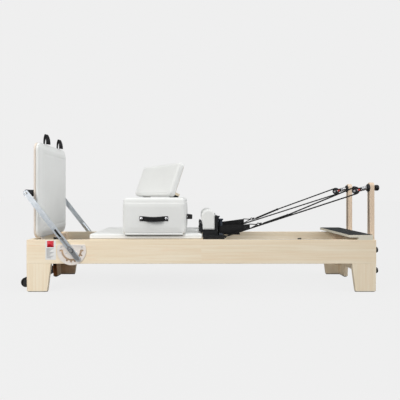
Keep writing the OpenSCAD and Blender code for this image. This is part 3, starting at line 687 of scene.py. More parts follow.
class Cushion:
    """One padded cover: a closed form in its own axes, swelled as cloth, sewn, then put in place."""

    def __init__(self, name, loops, material, to_frame, voxel, swell, low, high):
        self.piece = stack(name, loops, material)
        self.to_frame = to_frame
        self.low, self.high = np.array(low, float), np.array(high, float)
        put(self.piece.modifiers.new("remesh", "REMESH"), mode="VOXEL", voxel_size=voxel)
        bake(self.piece)
        self.piece.data.materials.clear()
        self.piece.data.materials.append(MATERIALS[material])
        self.swell = swell
        self.seams = []

    def simulate(self, held):
        """Cloth pressure swells the cover; held(points) marks the points sewn or glued down."""
        rest = points_of(self.piece)
        group = self.piece.vertex_groups.new(name="held")
        group.add([int(i) for i in np.nonzero(held(rest))[0]], 1.0, "REPLACE")
        cloth = self.piece.modifiers.new("cloth", "CLOTH")
        put(cloth.settings, quality=4, mass=0.3, tension_stiffness=12, compression_stiffness=12,
            shear_stiffness=5, bending_stiffness=0.4, use_pressure=True, uniform_pressure_force=4.0,
            vertex_group_mass="held")
        cloth.settings.effector_weights.gravity = 0.0
        cloth.collision_settings.use_collision = False
        scene = bpy.context.scene
        for span in (scene, cloth.point_cache):
            put(span, frame_start=1, frame_end=CLOTH_FRAMES)
        for step in range(1, CLOTH_FRAMES + 1):
            scene.frame_set(step)
        graph = bpy.context.evaluated_depsgraph_get()
        swelled = self.piece.evaluated_get(graph).data
        moved = np.zeros(len(rest) * 3, np.float32)
        swelled.vertices.foreach_get("co", moved)
        self.piece.modifiers.remove(cloth)
        self.piece.vertex_groups.clear()
        scene.frame_set(1)
        shift = moved.reshape(-1, 3) - rest
        length = np.linalg.norm(shift, axis=1, keepdims=True)
        shift *= np.minimum(1.0, self.swell / np.maximum(length, 1e-9))
        set_points(self.piece, rest + shift)

    def refine(self, smoothing):
        """Evens the surface and adds one subdivision, then keeps it inside its own box."""
        put(self.piece.modifiers.new("even", "SMOOTH"), factor=0.5, iterations=smoothing)
        put(self.piece.modifiers.new("finer", "SUBSURF"), levels=1, render_levels=1)
        bake(self.piece)
        set_points(self.piece, np.clip(points_of(self.piece), self.low, self.high))

    def sew(self, gap, depth=1.6 * MM, width=3.2 * MM):
        """Pulls a seam in: gap(points) is each point's distance from the seam line."""
        points = points_of(self.piece)
        normals = np.zeros(len(points) * 3, np.float32)
        self.piece.data.vertices.foreach_get("normal", normals)
        pull = depth * np.exp(-(gap(points) / width) ** 2)
        set_points(self.piece, points - normals.reshape(-1, 3) * pull[:, None])

    def stitch(self, name, path, thread="white_thread", pitch=7 * MM, length=4.6 * MM):
        """A row of small raised stitches that lie on the cover along a closed path."""
        path = [Vector(p) for p in path]
        spots = [path[0]]
        for point in path[1:]:
            if (point - spots[-1]).length >= pitch:
                spots.append(point)
        verts, faces = [], []
        for spot, ahead in zip(spots, spots[1:] + spots[:1]):
            _, place, normal, _ = self.piece.closest_point_on_mesh(spot)
            along = ahead - spot
            along = (along - normal * along.dot(normal)).normalized()
            add_stitch(verts, faces, place, along, normal, length)
        self.seams.append(make_piece(name, verts, faces, thread))

    def piping(self, name, path, radius):
        """A white welt cord laid in a seam, its middle on the surface."""
        laid = [self.piece.closest_point_on_mesh(Vector(p))[1] for p in path]
        self.seams.append(sweep(name, laid, round_section(radius, 8), "white_vinyl", Z_AXIS, closed=True))

    def place(self, body, slot, replaced):
        """Moves the cover and its seams into the row frame, and hangs them on their body."""
        for piece in [self.piece] + self.seams:
            piece.data.transform(self.to_frame)
            piece.data.shade_smooth()
            hang(piece, body, slot)
        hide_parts(replaced)


CLOTH_FRAMES = 20
STITCH = ((-0.5, 0.0), (-0.25, 0.75), (0.25, 0.75), (0.5, 0.0))     # rings of a stitch: reach, lift


def add_stitch(verts, faces, place, along, normal, length, width=0.9 * MM):
    """One stitch: a short thread that dives into the cloth at both ends."""
    across = along.cross(normal)
    start = len(verts)
    for reach, lift in STITCH:
        middle = Vector(place) + along * reach * length
        for a in turns(4):
            offset = across * math.cos(a) + normal * (math.sin(a) + lift)
            verts.append(middle + offset * width / 2)
    skin = ring_faces(len(STITCH), 4, False) + end_caps(len(STITCH), 4)
    faces += [tuple(start + i for i in reversed(face)) for face in skin]


def slab_loops(width, height, radius, levels):
    """Loops of a padded slab: levels lists (inset, level) pairs up its thickness."""
    loops = []
    for inset, level in levels:
        ring = outline(width - 2 * inset, height - 2 * inset, max(radius - inset, 2 * MM))
        loops.append([(a, b, level) for a, b in ring])
    return even_loops(loops)


def even_loops(loops, count=240):
    """The same number of evenly spaced points on every loop, starting at the same angle."""
    evened = []
    for loop in loops:
        closed = np.array(loop + loop[:1], float)
        steps = np.linalg.norm(np.diff(closed, axis=0), axis=1)
        reach = np.concatenate([[0], np.cumsum(steps)])
        wanted = np.linspace(0, reach[-1], count, endpoint=False)
        evened.append([tuple(np.interp(w, reach, closed[:, k]) for k in range(3)) for w in wanted])
    return evened


def loop_path(width, height, radius, level):
    return [(a, b, level) for a, b in outline(width, height, radius, 2.5 * MM)]


def rolled(inset, top, soft):
    """Levels of an edge that rolls over by `soft` up to the height `top`."""
    angles = [i / 6 * math.pi / 2 for i in range(7)]
    return [(inset + soft * (1 - math.cos(a)), top - soft + soft * math.sin(a)) for a in angles]


def edge_round(thickness, soft, inset=0.0):
    """Levels of a slab whose back is square and whose front edge is rounded by `soft`."""
    return [(inset + 2 * MM, 0.0), (inset, 2 * MM)] + rolled(inset, thickness, soft)


def bar_levels(low, high, inset, chamfer):
    """Levels of a plain slab with a small chamfer at both faces."""
    return [(inset + chamfer, low), (inset, low + chamfer),
            (inset, high - chamfer), (inset + chamfer, high)]


def axes_matrix(right, up, front, origin):
    """Matrix from a piece's own (right, up, front) axes to the row frame."""
    return Matrix.Translation(Vector(origin)) @ Matrix((right, up, front)).transposed().to_4x4()


def lying(node):
    """Size of a CAD pad that lies flat, and the matrix from the middle of its underside."""
    low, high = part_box(node)
    centre = (low + high) / 2
    return high - low, axes_matrix(X_AXIS, Y_AXIS, Z_AXIS, (centre.x, centre.y, low.z))


def close_to(p, level, reach):
    """Marks the points within reach of a level of the cushion's thickness."""
    return np.abs(p[:, 2] - level) < reach


def swell_and_sew(pad, seam, reach, smoothing, glued=3 * MM, **needle):
    """Swells a cover glued along its back and held at a level seam, then draws the seam in."""
    pad.simulate(lambda p: (p[:, 2] < glued) | close_to(p, seam, reach))
    pad.refine(smoothing)
    pad.sew(lambda p: p[:, 2] - seam, **needle)


def jump_board_pad():
    """Pad on the jump board: bordered edge, bevelled rim and a flat face with a sunk panel line."""
    low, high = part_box("jump_board_pad")
    width, height, thick = high.y - low.y, high.z - low.z, high.x - low.x
    radius, rim, rise = 55 * MM, 46 * MM, 21 * MM
    panel_inset = 78 * MM    # from the pad's edge to the line sewn into its face
    border = thick - rise
    out = 1.5 * MM
    levels = [(1 * MM, 0.0), (-out, 2 * MM), (-out, border - 1 * MM), (0.0, border + 1 * MM)]
    levels += [(rim * t, border + rise * t ** 0.85 - 1 * MM * t) for t in (0.15, 0.3, 0.5, 0.7, 0.85, 1.0)]
    centre = Vector((low.x, 0, (low.z + high.z) / 2))
    to_frame = axes_matrix(Y_AXIS, Z_AXIS, X_AXIS, centre)
    pad = Cushion("jump_board_cushion", slab_loops(width, height, radius, levels), "white_vinyl",
                  to_frame, 6 * MM, 5 * MM, (-width, -height, 0), (width, height, thick))

    def past_edge(p):
        return np.maximum(np.abs(p[:, 0]) - width / 2, np.abs(p[:, 1]) - height / 2)

    def held(p):
        crease = (p[:, 2] > thick - 3 * MM) & (past_edge(p) + rim > -10 * MM)
        return (p[:, 2] < 3 * MM) | close_to(p, border, 3 * MM) | crease

    pad.simulate(held)
    pad.refine(2)
    pad.sew(lambda p: p[:, 2] - border)
    pad.sew(lambda p: np.where(p[:, 2] > border, past_edge(p) + panel_inset, 1.0), 1.8 * MM, 8 * MM)
    pad.piping("jump_board_welt", loop_path(width, height, radius, border), 1.8 * MM)
    inset = 8 * MM
    path = loop_path(width - 2 * inset, height - 2 * inset, radius, border + 9 * MM)
    pad.stitch("jump_board_stitches", path)
    pad.place("jump_board", "white_vinyl", "jump_board_pad")


def carriage_pad():
    """Upholstered bed of the carriage, flat where the box stands and rolled over its edges."""
    size, to_frame = lying("carriage_pad")
    corner, soft, seam = 10 * MM, 6 * MM, 14 * MM
    pad = Cushion("carriage_upholstery", slab_loops(size.x, size.y, corner, edge_round(size.z, soft)),
                  "white_vinyl", to_frame, 8 * MM, 4 * MM,
                  (-size.x, -size.y, 0), (size.x / 2, size.y, size.z))
    swell_and_sew(pad, seam, 4 * MM, 3, depth=1.2 * MM)
    pad.stitch("carriage_stitches", loop_path(size.x, size.y, corner, seam + 5 * MM))
    pad.place("carriage", "white_vinyl", "carriage_pad")


def headrest_pad():
    """Thin black pad of the headrest."""
    size, to_frame = lying("headrest_pad")
    corner, soft, seam, inset = 26 * MM, 8 * MM, 5 * MM, 6 * MM
    reach_x, reach_y = size.x / 2, size.y / 2
    levels = edge_round(size.z - 1 * MM, soft, 1 * MM)
    pad = Cushion("headrest_cushion", slab_loops(size.x, size.y, corner, levels), "black_vinyl",
                  to_frame, 4 * MM, 3 * MM, (-reach_x, -reach_y, 0), (reach_x, reach_y, size.z))
    pad.simulate(lambda p: p[:, 2] < 4 * MM)
    pad.refine(6)
    pad.sew(lambda p: p[:, 2] - seam, 0.8 * MM, 2 * MM)
    path = loop_path(size.x - 2 * inset, size.y - 2 * inset, corner, size.z)
    pad.stitch("headrest_stitches", path, "grey_thread")
    pad.place("headrest", "black_vinyl", "headrest_pad")


def shoulder_pad(side):
    """Shoulder rest pad: tall, with a rounded crown, a seam down each cheek and a welt."""
    node = "shoulder_pad_" + side
    low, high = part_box(node)
    size = high - low
    radius = size.x / 2
    arch_z = size.z - radius
    square = 10 * MM

    def profile(inset):
        loop = [(-radius + square, inset), (radius - inset, inset)]
        loop += [((radius - inset) * math.cos(a), arch_z + (radius - inset) * math.sin(a))
                 for a in np.linspace(0, math.pi, 40)]
        loop += [(-radius + inset, arch_z - 20 * MM), (-radius + square, arch_z - 42 * MM)]
        return loop

    shrink = 2.5 * MM
    half = size.y / 2
    edge = in_mm((9, 0), (5, 1), (2, 4), (0, 10))
    levels = [(inset, depth - half) for inset, depth in edge]
    levels += [(inset, half - depth) for inset, depth in reversed(edge)]
    loops = [[(a, b, level) for a, b in profile(inset + shrink)] for inset, level in levels]
    centre = (low + high) / 2
    to_frame = axes_matrix(X_AXIS, Z_AXIS, -Y_AXIS, (centre.x, centre.y, low.z))
    pad = Cushion(f"shoulder_cushion_{side}", even_loops(loops), "white_vinyl", to_frame, 4.5 * MM, 5 * MM,
                  (-radius, 0, -half), (radius, size.z, half))
    seam = half - 9 * MM
    pad.simulate(lambda p: (p[:, 1] < 4 * MM) | close_to(np.abs(p), seam, 2.5 * MM))
    pad.refine(4)
    pad.sew(lambda p: np.abs(p[:, 2]) - seam, 1.4 * MM, 2.6 * MM)
    for cheek in (-1, 1):
        path = [(a, b, cheek * seam) for a, b in profile(shrink)]
        tag = "inner" if cheek == SIDES[side] else "outer"
        pad.piping(f"shoulder_welt_{side}_{tag}", closed_line(path, 2 * MM), 1.3 * MM)
    pad.place("shoulder_rest_" + side, "white_vinyl", node)


BOX_BULGE = 4 * MM           # most that a side of the box cover may swell; its handles lie just clear of it


def sitting_box():
    """Upholstered box: padded lid with a rolled edge and soft corners, on battens that locate it."""
    size, to_frame = lying("box_cover")
    base, hem = 1 * MM, 9 * MM
    slack = 1.5 * MM
    lid = size.z - 37 * MM
    corner = 20 * MM
    levels = [(3 * MM - slack, base), (0.5 * MM - slack, base + 3 * MM), (-slack, hem), (-slack, lid)]
    levels += rolled(-slack, size.z, corner)
    reach_x, reach_y = size.x / 2 + BOX_BULGE, size.y / 2 + BOX_BULGE
    cover = Cushion("box_upholstery", slab_loops(size.x, size.y, corner, levels), "white_vinyl", to_frame,
                    8 * MM, 4.5 * MM, (-reach_x, -reach_y, base), (reach_x, reach_y, size.z))
    swell_and_sew(cover, lid, 4 * MM, 3, hem, depth=2.0 * MM, width=4 * MM)
    rim = slack + 1 * MM
    cover.stitch("box_stitches", loop_path(size.x + 2 * rim, size.y + 2 * rim, corner, lid - 7 * MM))
    cover.place("box", "white_vinyl", "box_cover")
    low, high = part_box("box_cover")
    box_battens_and_shadow_line((low.x + high.x) / 2, size.x - 30 * MM, high.y + slack, low.z)


def box_battens_and_shadow_line(x, length, outer, base):
    """Covered battens under the near and far sides that keep the box on the carriage, each over a black
    strip of painted shadow, the dark line below the box's edge.
    """
    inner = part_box("carriage_pad")[1].y + 6 * MM
    shadow_bottom, drop, corner, chamfer = 12 * MM, 8 * MM, 3 * MM, 0.6 * MM
    parts = (("box_batten_", "white_vinyl", "white_vinyl", -drop, 4 * MM, 0.0),
             # The black strip under each batten is painted shadow: the dark line where the box shades the
             # carriage's edge.
             ("box_shadow_line_", "black_rubber", "rubber_black", -shadow_bottom, -drop, 1 * MM))
    for name, material, slot, low, high, inset in parts:
        loops = slab_loops(length, outer - inner, corner, bar_levels(low, high, inset, chamfer))
        for tag, side in SIDES.items():
            batten = stack(name + tag, loops, material)
            batten.data.transform(Matrix.Translation((x, side * (inner + outer) / 2, base)))
            hang(batten, "box", slot)


def broad_face(node):
    """Unit normal of the node's largest face, turned towards the near side."""
    face = max(NODES[node].data.polygons, key=lambda polygon: polygon.area)
    normal = Vector(face.normal)
    return -normal if normal.y > 0 else normal


EXTENDER_FRONT = broad_face("extender_pad")
EXTENDER_RIGHT = Z_AXIS.cross(EXTENDER_FRONT).normalized()
EXTENDER_UP = EXTENDER_FRONT.cross(EXTENDER_RIGHT)


def extender_box(node):
    """Lowest and highest corner of a node, measured along the extender's own axes."""
    turn = np.array((EXTENDER_RIGHT, EXTENDER_UP, EXTENDER_FRONT))
    points = points_of(NODES[node]) @ turn.T
    return Vector(points.min(0)), Vector(points.max(0))


def extender_pad():
    """Padded face of the extender: the vinyl is drawn round the board's edges, with a welted border."""
    low, high = extender_box("extender_pad")
    size = high - low
    middle = (low + high) / 2
    origin = EXTENDER_RIGHT * middle.x + EXTENDER_UP * middle.y + EXTENDER_FRONT * low.z
    to_frame = axes_matrix(EXTENDER_RIGHT, EXTENDER_UP, EXTENDER_FRONT, origin)
    corner, wrap, out, soft = 24 * MM, 15.5 * MM, 1.8 * MM, 14 * MM
    seam = size.z - soft
    levels = [(4 * MM, -wrap), (-out, -wrap + 2 * MM)] + rolled(-out, size.z, soft)
    pad = Cushion("extender_cushion", slab_loops(size.x, size.y, corner, levels), "white_vinyl", to_frame,
                  6 * MM, 6 * MM, (-size.x, -size.y, -wrap), (size.x, size.y, size.z))
    swell_and_sew(pad, seam, 3 * MM, 3)
    pad.piping("extender_welt", loop_path(size.x + out, size.y + out, corner, seam), 1.5 * MM)
    pad.stitch("extender_stitches", loop_path(size.x, size.y, corner, seam + 7 * MM))
    pad.place("extender", "white_vinyl", "extender_pad")


jump_board_pad()
carriage_pad()
headrest_pad()
for side in SIDES:
    shoulder_pad(side)
sitting_box()
extender_pad()


# ---------------------------------------------------------------- extender board

def extender_board():
    """The extender's plywood, its grain along the board, and the rubber pads under its cleats."""
    add_material(plywood, "extender_ply", EXTENDER_RIGHT, EXTENDER_UP, *BIRCH)
    finish_cad("extender_ply", 1 * MM, "extender_board")
    low, high = extender_box("extender_board")
    cleat_low = low.y + 20 * MM
    width, depth, thick = 100 * MM, 46 * MM, 13 * MM
    loops = slab_loops(width, depth, 5 * MM, bar_levels(0.0, thick, 0.0, 1 * MM))
    for tag, start in (("foot", low.x + 30 * MM), ("head", high.x - 130 * MM)):
        block = stack("extender_cleat_pad_" + tag, loops, "black_rubber")
        origin = (EXTENDER_RIGHT * (start + width / 2) + EXTENDER_UP * (cleat_low - thick)
                  + EXTENDER_FRONT * (low.z + depth / 2 + 2 * MM))
        block.data.transform(axes_matrix(EXTENDER_RIGHT, -EXTENDER_FRONT, EXTENDER_UP, origin))
        hang(block, "extender", "rubber_black")


# ---------------------------------------------------------------- footbar

PIVOT = joint_place("footbar_hinge")


def footbar_grip():
    """Foam sleeve with rounded, slightly flared ends, and a domed bolt at each arm."""
    low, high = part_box("footbar_grip")
    centre = (low + high) / 2
    radius = (high.z - low.z) / 2
    half = (high.y - low.y) / 2
    end = [(-half, 16.2 * MM), (-half, radius - 5 * MM), (-half + 1.5 * MM, radius - 1.8 * MM),
           (-half + 5 * MM, radius)]
    profile = list(end)
    for i in range(1, 40):
        y = -half + 5 * MM + (2 * half - 10 * MM) * i / 40
        profile.append((y, radius - 0.5 * MM - 0.35 * MM * math.sin(40 * y)))
    profile += [(-y, r) for y, r in reversed(end)]
    sleeve = lathe("footbar_foam", profile, (centre.x, 0, centre.z), Y_AXIS, "grip_foam", 48)
    hang(sleeve, "footbar", "foam_grip")
    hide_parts("footbar_grip")
    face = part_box("footbar_arms")[1].y
    head = in_mm((-4, 5), (0.2, 9.5), (1.6, 9.5), (3.4, 7.6), (4.2, 4), (2.2, 3.4), (2.2, 0))
    for tag, side in SIDES.items():
        spot = (centre.x, side * face, centre.z)
        bolt = lathe("footbar_end_bolt_" + tag, head, spot, (0, side, 0), "bolt_zinc", 32)
        hang(bolt, "footbar", "bolt_steel")


def plate_screws():
    """Pan-head screws through the corner holes of both index plates."""
    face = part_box("index_plates")[1].y
    profile = in_mm((-5, 3.0), (0, 3.1), (0.1, 5.6), (0.5, 5.6),
                    (0.8, 4.4), (0.9, 1.5), (0.4, 1.2), (0.4, 0))
    holes = in_mm((-72, 26), (72, 26), (-34, -18), (34, -18))
    for tag, side in SIDES.items():
        spots = [(PIVOT.x + x, side * face, PIVOT.z + z) for x, z in holes]
        heads = [lathe("screw", profile, spot, (0, side, 0), "bolt_zinc", 24) for spot in spots]
        hang(join("index_plate_screws_" + tag, heads), "frame", "bolt_steel")


def pivot_washers():
    """Black nylon washer under each pivot bolt's head."""
    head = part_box("pivot_bolts")[1].y - 6 * MM
    bore, rim, thick = 8.5 * MM, 15.2 * MM, 0.45 * MM
    reach = (bore + rim) / 2
    half = (rim - bore) / 2
    section = [(-half, -thick / 2), (half, -thick / 2), (half, thick / 2), (-half, thick / 2)]
    for tag, side in SIDES.items():
        centre = Vector((PIVOT.x, side * (head - 0.05 * MM - thick / 2), PIVOT.z))
        ring = [centre + reach * Vector((math.cos(a), 0, math.sin(a))) for a in turns(40)]
        name = "pivot_washer_" + tag
        washer = sweep(name, ring, lambda distance: section, "black_plastic", Y_AXIS, closed=True)
        hang(washer, "frame", "black_plastic")


def arm_slot_liners():
    """Each arm's slot is closed from inside by a steel strip with a black strip on it, painted shade in the
    slot.
    """
    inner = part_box("footbar_arms")[1].y - 8 * MM
    length, middle = 104 * MM, 135 * MM
    strips = (("arm_steel", 24 * MM, -0.7 * MM, -0.1 * MM),
              # the black strip is painted shade in the slot
              ("black_plastic", 13.4 * MM, -0.1 * MM, 1.5 * MM))
    for tag, side in SIDES.items():
        out = Vector((0, side, 0))
        made = []
        for material, width, low, high in strips:
            loops = slab_loops(length, width, width / 2, [(0.0, low), (0.0, high)])
            strip = stack("strip", loops, material)
            strip.data.transform(axes_matrix(ARM, ARM.cross(out), out, PIVOT + ARM * middle + out * inner))
            made.append(fix_normals(strip))
        hang(join("arm_slot_liner_" + tag, made), "footbar", "black_plastic")


def plate_slot_shade_sheets():
    """Pale tan sheet under each index plate that shows only through the arc slot and notches: painted shade
    in those recesses.
    """
    radius, lip, thick = 82 * MM, 12 * MM, 0.4 * MM
    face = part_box("side_rails")[1].y
    rim = [(radius * math.cos(a), radius * math.sin(a)) for a in np.linspace(math.pi, 2 * math.pi, 48)]
    rim += [(radius, lip), (-radius, lip)]
    loops = [[(x, z, level) for x, z in rim] for level in (-0.2 * MM, thick)]
    for tag, side in SIDES.items():
        sheet = stack("index_plate_shade_sheet_" + tag, loops, "fibre_sheet")
        out = Vector((0, side, 0))
        sheet.data.transform(axes_matrix(X_AXIS, Z_AXIS, out, (PIVOT.x, side * face, PIVOT.z)))
        hang(fix_normals(sheet), "frame", "rubber_black")


# ---------------------------------------------------------------- webbing straps

def jump_board_straps():
    """Two carrying loops of doubled webbing, sewn flat where they meet the board."""
    low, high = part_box("jump_board_straps")
    width = 40 * MM
    mid_x = (low.x + high.x) / 2
    spread = (high.x - low.x) / 2 - 4 * MM
    rise = high.z - low.z - 3 * MM

    def turned(share):
        angle = math.radians(-8 + 40 * share)
        return Vector((math.sin(angle), math.cos(angle), 0))

    section = strap_section(width - 1 * MM, 4.6 * MM)
    made = []
    for side in SIDES.values():
        y = side * ((high.y - low.y) / 2 - width / 2)
        path = []
        for a in np.linspace(0, math.pi, 48):
            lean = math.cos(a) * (0.6 + 0.4 * math.cos(a) ** 2)
            path.append(Vector((mid_x - spread * lean, y, low.z + 0.5 * MM + rise * math.sin(a) ** 0.75)))
        made.append(sweep("strap", path, section, "black_webbing", turned))
        for out, end in ((-X_AXIS, path[5]), (X_AXIS, path[-6])):
            made.append(box_stitches(end + out * 2.6 * MM, Y_AXIS, Z_AXIS, 22 * MM, 14 * MM, out))
    straps = hang(join("jump_board_carry_straps", made), "jump_board", "webbing")
    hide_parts("jump_board_straps")


def box_stitches(centre, across, up, width, height, normal):
    """The sewn box and cross that holds two layers of webbing together."""
    corners = [centre + across * a * width / 2 + up * b * height / 2
               for a, b in ((-1, -1), (1, -1), (1, 1), (-1, 1))]
    runs = list(zip(corners, corners[1:] + corners[:1])) + [corners[::2], corners[1::2]]
    verts, faces = [], []
    for start, end in runs:
        spots = line(start, end, 3.2 * MM)
        for a, b in zip(spots, spots[1:]):
            add_stitch(verts, faces, (a + b) / 2, (b - a).normalized(), normal, 2.4 * MM, 0.7 * MM)
    return make_piece("box_stitches", verts, faces, "grey_thread")


def strap_ends(side):
    """Middle points of a strap loop at its peg and at its ring, from the CAD boxes of one side."""
    low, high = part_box("strap_pegs")
    radius = (high.x - low.x) / 2
    ring = side_points("strap_rings", side)
    peg = Vector((low.x + radius, side * (high.y - radius), 0))
    tip = Vector((ring[:, 0].min(), ring[:, 1].mean(), (ring[:, 2].min() + ring[:, 2].max()) / 2))
    return peg, tip


def heading(run):
    """Level unit vectors along a run and to its left."""
    ahead = Vector((run.x, run.y, 0)).normalized()
    return ahead, Vector((-ahead.y, ahead.x, 0))


def loop_round(peg, tip, peg_radius, tip_radius, level, step=4 * MM):
    """Closed plan path round a peg and a ring bar; level(share) is its height from peg to ring."""
    length = Vector((tip.x - peg.x, tip.y - peg.y, 0)).length
    ahead, aside = heading(tip - peg)
    count = round(length / step)
    run = [(length * i / count, peg_radius + (tip_radius - peg_radius) * i / count)
           for i in range(1, count)]
    plan = [(peg_radius * math.cos(a), peg_radius * math.sin(a))
            for a in np.linspace(math.pi / 2, 3 * math.pi / 2, 12)]
    plan += [(along, -off) for along, off in run]
    plan += [(length + tip_radius * math.cos(a), tip_radius * math.sin(a))
             for a in np.linspace(-math.pi / 2, math.pi / 2, 7)]
    plan += reversed(run)
    path = []
    for along, off in plan:
        share = min(1.0, max(0.0, along / length))
        spot = Vector((peg.x, peg.y, 0)) + ahead * along + aside * off
        spot.z = level(share)
        path.append(spot)
    return path


def strap_loop(tag):
    """Hand and foot strap of one side: a wide loop round the peg and a longer one that sags below."""
    peg, tip = strap_ends(SIDES[tag])
    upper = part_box("strap_loops")[0].z + 42 * MM
    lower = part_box("head_deck")[1].z + 30 * MM
    at_peg, at_ring = 44 * MM, 23 * MM
    sag = 16 * MM
    reach = (tip - peg).length + 24 * MM

    def taut(share):
        return upper + (tip.z + 1 * MM - upper) * share ** 1.2

    def slack(share):
        return lower + (tip.z - 2 * MM - lower) * share ** 1.6 - sag * share * (1 - share)

    def gathered(distance):
        """Height of the webbing: full round the peg, bunched up at the ring."""
        share = min(1.0, distance / reach, (2 * reach - distance) / reach + 0.12)
        return at_peg - (at_peg - at_ring) * max(share, 0.0) ** 1.1

    wide = loop_round(peg, tip, 15.2 * MM, 4.4 * MM, taut)
    padded = loop_round(peg, tip, 18.0 * MM, 7.2 * MM, slack)
    parts = [sweep("loop", path, strap_section(gathered, thick), "black_webbing", Z_AXIS, closed=True)
             for path, thick in ((wide, 2.4 * MM), (padded, 3.0 * MM))]
    ahead, aside = heading(tip - peg)
    for face in (-1, 1):
        spot = Vector((tip.x, tip.y, tip.z - 6 * MM)) - ahead * 26 * MM + aside * face * 10.2 * MM
        parts.append(box_stitches(spot, ahead, Z_AXIS, 24 * MM, 18 * MM, aside * face))
    return hang(join("strap_loop_" + tag, parts), "carriage", "webbing")


def wire_ring(tag):
    """Triangular ring of bent wire with rounded corners."""
    points = side_points("strap_rings", SIDES[tag])
    wire, thick, cut = 3.0 * MM, 3.6 * MM, 6 * MM
    low, high = points.min(0) + wire, points.max(0) - wire
    y = points[:, 1].mean()
    corners = [Vector((low[0], y, high[2])), Vector((low[0], y, low[2])),
               Vector((high[0], y, high[2] - 3 * MM))]
    path = []
    for before, corner, after in zip(corners[-1:] + corners, corners, corners[1:] + corners[:1]):
        back = (before - corner).normalized()
        ahead = (after - corner).normalized()
        path += [(corner + back * cut * (1 - t)).lerp(corner + ahead * cut * t, t)
                 for t in np.linspace(0, 1, 7)]
    ring = sweep("strap_ring_" + tag, closed_line(path, 3 * MM), round_section(thick, 12), "black_steel",
                 Y_AXIS, closed=True)
    return hang(ring, "carriage", "black_steel")


def snap_hook(tag):
    """Swivel snap hook: open bow with a sprung gate, collar and eye."""
    points = side_points("snap_hooks", SIDES[tag])
    low, high = Vector(points.min(0)), Vector(points.max(0))
    y = (low.y + high.y) / 2
    mid = (low.z + high.z) / 2
    bow = [Vector((low.x - 4 * MM + 10 * MM * (1 - math.cos(a)), y, mid + 8 * MM * math.sin(a)))
           for a in turns(28)]
    gate = line((low.x + 2 * MM, y, mid + 8.4 * MM), (low.x + 14 * MM, y, mid + 5 * MM), 2 * MM)
    collar = in_mm((0, 5), (1, 8.4), (7, 8.8), (8, 6.4), (10, 6.4), (11, 9.2), (17, 9.2), (18.5, 6))
    parts = [sweep("bow", bow, round_section(3.2 * MM, 10), "black_steel", Y_AXIS, closed=True),
             sweep("gate", gate, round_section(3.6 * MM, 10), "black_steel"),
             lathe("collar", collar, (low.x + 13 * MM, y, mid + 1 * MM), (1, 0, 0.16), "black_steel", 28)]
    return hang(join("snap_hook_" + tag, parts), "carriage", "black_plastic")


def on_both_sides(make, replaced):
    """Makes a piece for each side; together they stand for one CAD node."""
    made = [make(tag) for tag in SIDES]
    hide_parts(replaced)


# ---------------------------------------------------------------- ropes and pulleys

ROPE = 5.2 * MM
SHEAVE = 24 * MM             # radius of the rope's centre line on the sheave
ROPE_BEND = 72 * MM          # the rope's piece over the sheave starts this far before the axle
SLEEVE = 181 * MM            # reach of the rope's adjuster sleeve along the bed


def rope_ends(side, axle):
    """Deck anchor, clip and top of the sleeve of one rope, read from the ends of its CAD solid."""
    points = side_points("ropes", side)
    x, z = points[:, 0], points[:, 2]
    anchor = points[x < x.min() + 4 * MM].mean(0)
    at_clip = (np.abs(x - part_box("snap_hooks")[1].x) < 6 * MM) & (z > anchor[2] + 60 * MM)
    clip = Vector(points[at_clip].mean(0))
    sleeve_x = clip.x + SLEEVE
    heights = z[(x > sleeve_x - 4 * MM) & (x < sleeve_x + 14 * MM)]
    upper = heights[heights > heights.mean()].mean()
    return Vector(anchor), clip, Vector((sleeve_x, clip.y + (axle.y - clip.y) * 0.1, upper))


def rope_path(anchor, axle, end):
    """From the anchor round the sheave to the sleeve, and the points that leave the sheave's arc."""
    def leaving(point, way):
        run = Vector((axle.x - point.x, 0, axle.z - point.z))
        return math.atan2(run.z, run.x) + way * (math.pi / 2 + math.asin(SHEAVE / run.length))

    arc = np.linspace(leaving(anchor, -1), leaving(end, 1), 26)
    bend = [axle + SHEAVE * Vector((math.cos(a), 0, math.sin(a))) for a in arc]
    return line(anchor, bend[0], 4 * MM)[:-1] + bend + line(bend[-1], end, 4 * MM)[1:], bend[0]


def rope(tag):
    """One braided rope: deck anchor, round the sheave, back to its sleeve and hook. The piece over the
    sheave is made as a piece of its own."""
    axle = joint_place(f"sheave_{tag}_spin")
    anchor, clip, end = rope_ends(SIDES[tag], axle)
    path, first_bend = rope_path(anchor, axle, end)
    bend_x = axle.x - ROPE_BEND
    over = [i for i, point in enumerate(path) if point.x > bend_x]
    first, last = over[0], over[-1]
    cord = braid_section(ROPE)
    turned = sweep("rope_bend_" + tag, path[first:last + 1], cord, "black_rope")
    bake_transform(turned)
    length = (end - clip).length
    cover = braid_section(7.6 * MM, 16 * MM, 0.1)

    def sleeve(distance):
        taper = min(1.0, 0.62 + 0.38 * min(distance, length - distance) / (14 * MM))
        return [(a * taper, b * taper) for a, b in cover(distance)]

    toggle = in_mm((-9, 4.5), (-8, 7.8), (0, 8.4), (8, 7.8), (9, 4.5))
    ferrule = in_mm((0, 11), (1.5, 12), (5, 10), (9, 6.5), (10, 4.2))
    parts = [sweep("cord", run, cord, "black_rope") for run in (path[:first + 1], path[last:])]
    parts.append(sweep("sleeve", line(clip, end, 4 * MM), sleeve, "black_rope"))
    parts.append(lathe("toggle", toggle, end, end - clip, "black_plastic", 24))
    parts.append(lathe("ferrule", ferrule, anchor, first_bend - anchor, "black_plastic", 24))
    whole = join("rope_" + tag, parts)
    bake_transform(whole)
    return whole


def coil(name, origin, axis, radius, wire, pitch, length, material, turn_steps):
    """Helical wire of a spring, starting at origin and running along axis."""
    axis = Vector(axis).normalized()
    side = axis.orthogonal().normalized()
    other = axis.cross(side)
    path = []
    for i in range(int(length / pitch * turn_steps) + 1):
        a = 2 * math.pi * i / turn_steps
        path.append(Vector(origin) + axis * pitch * i / turn_steps
                    + (side * math.cos(a) + other * math.sin(a)) * radius)
    return sweep(name, path, round_section(wire, 7), material, axis)


SPRING_PITCH = 90 * MM       # from one spring's middle line to the next


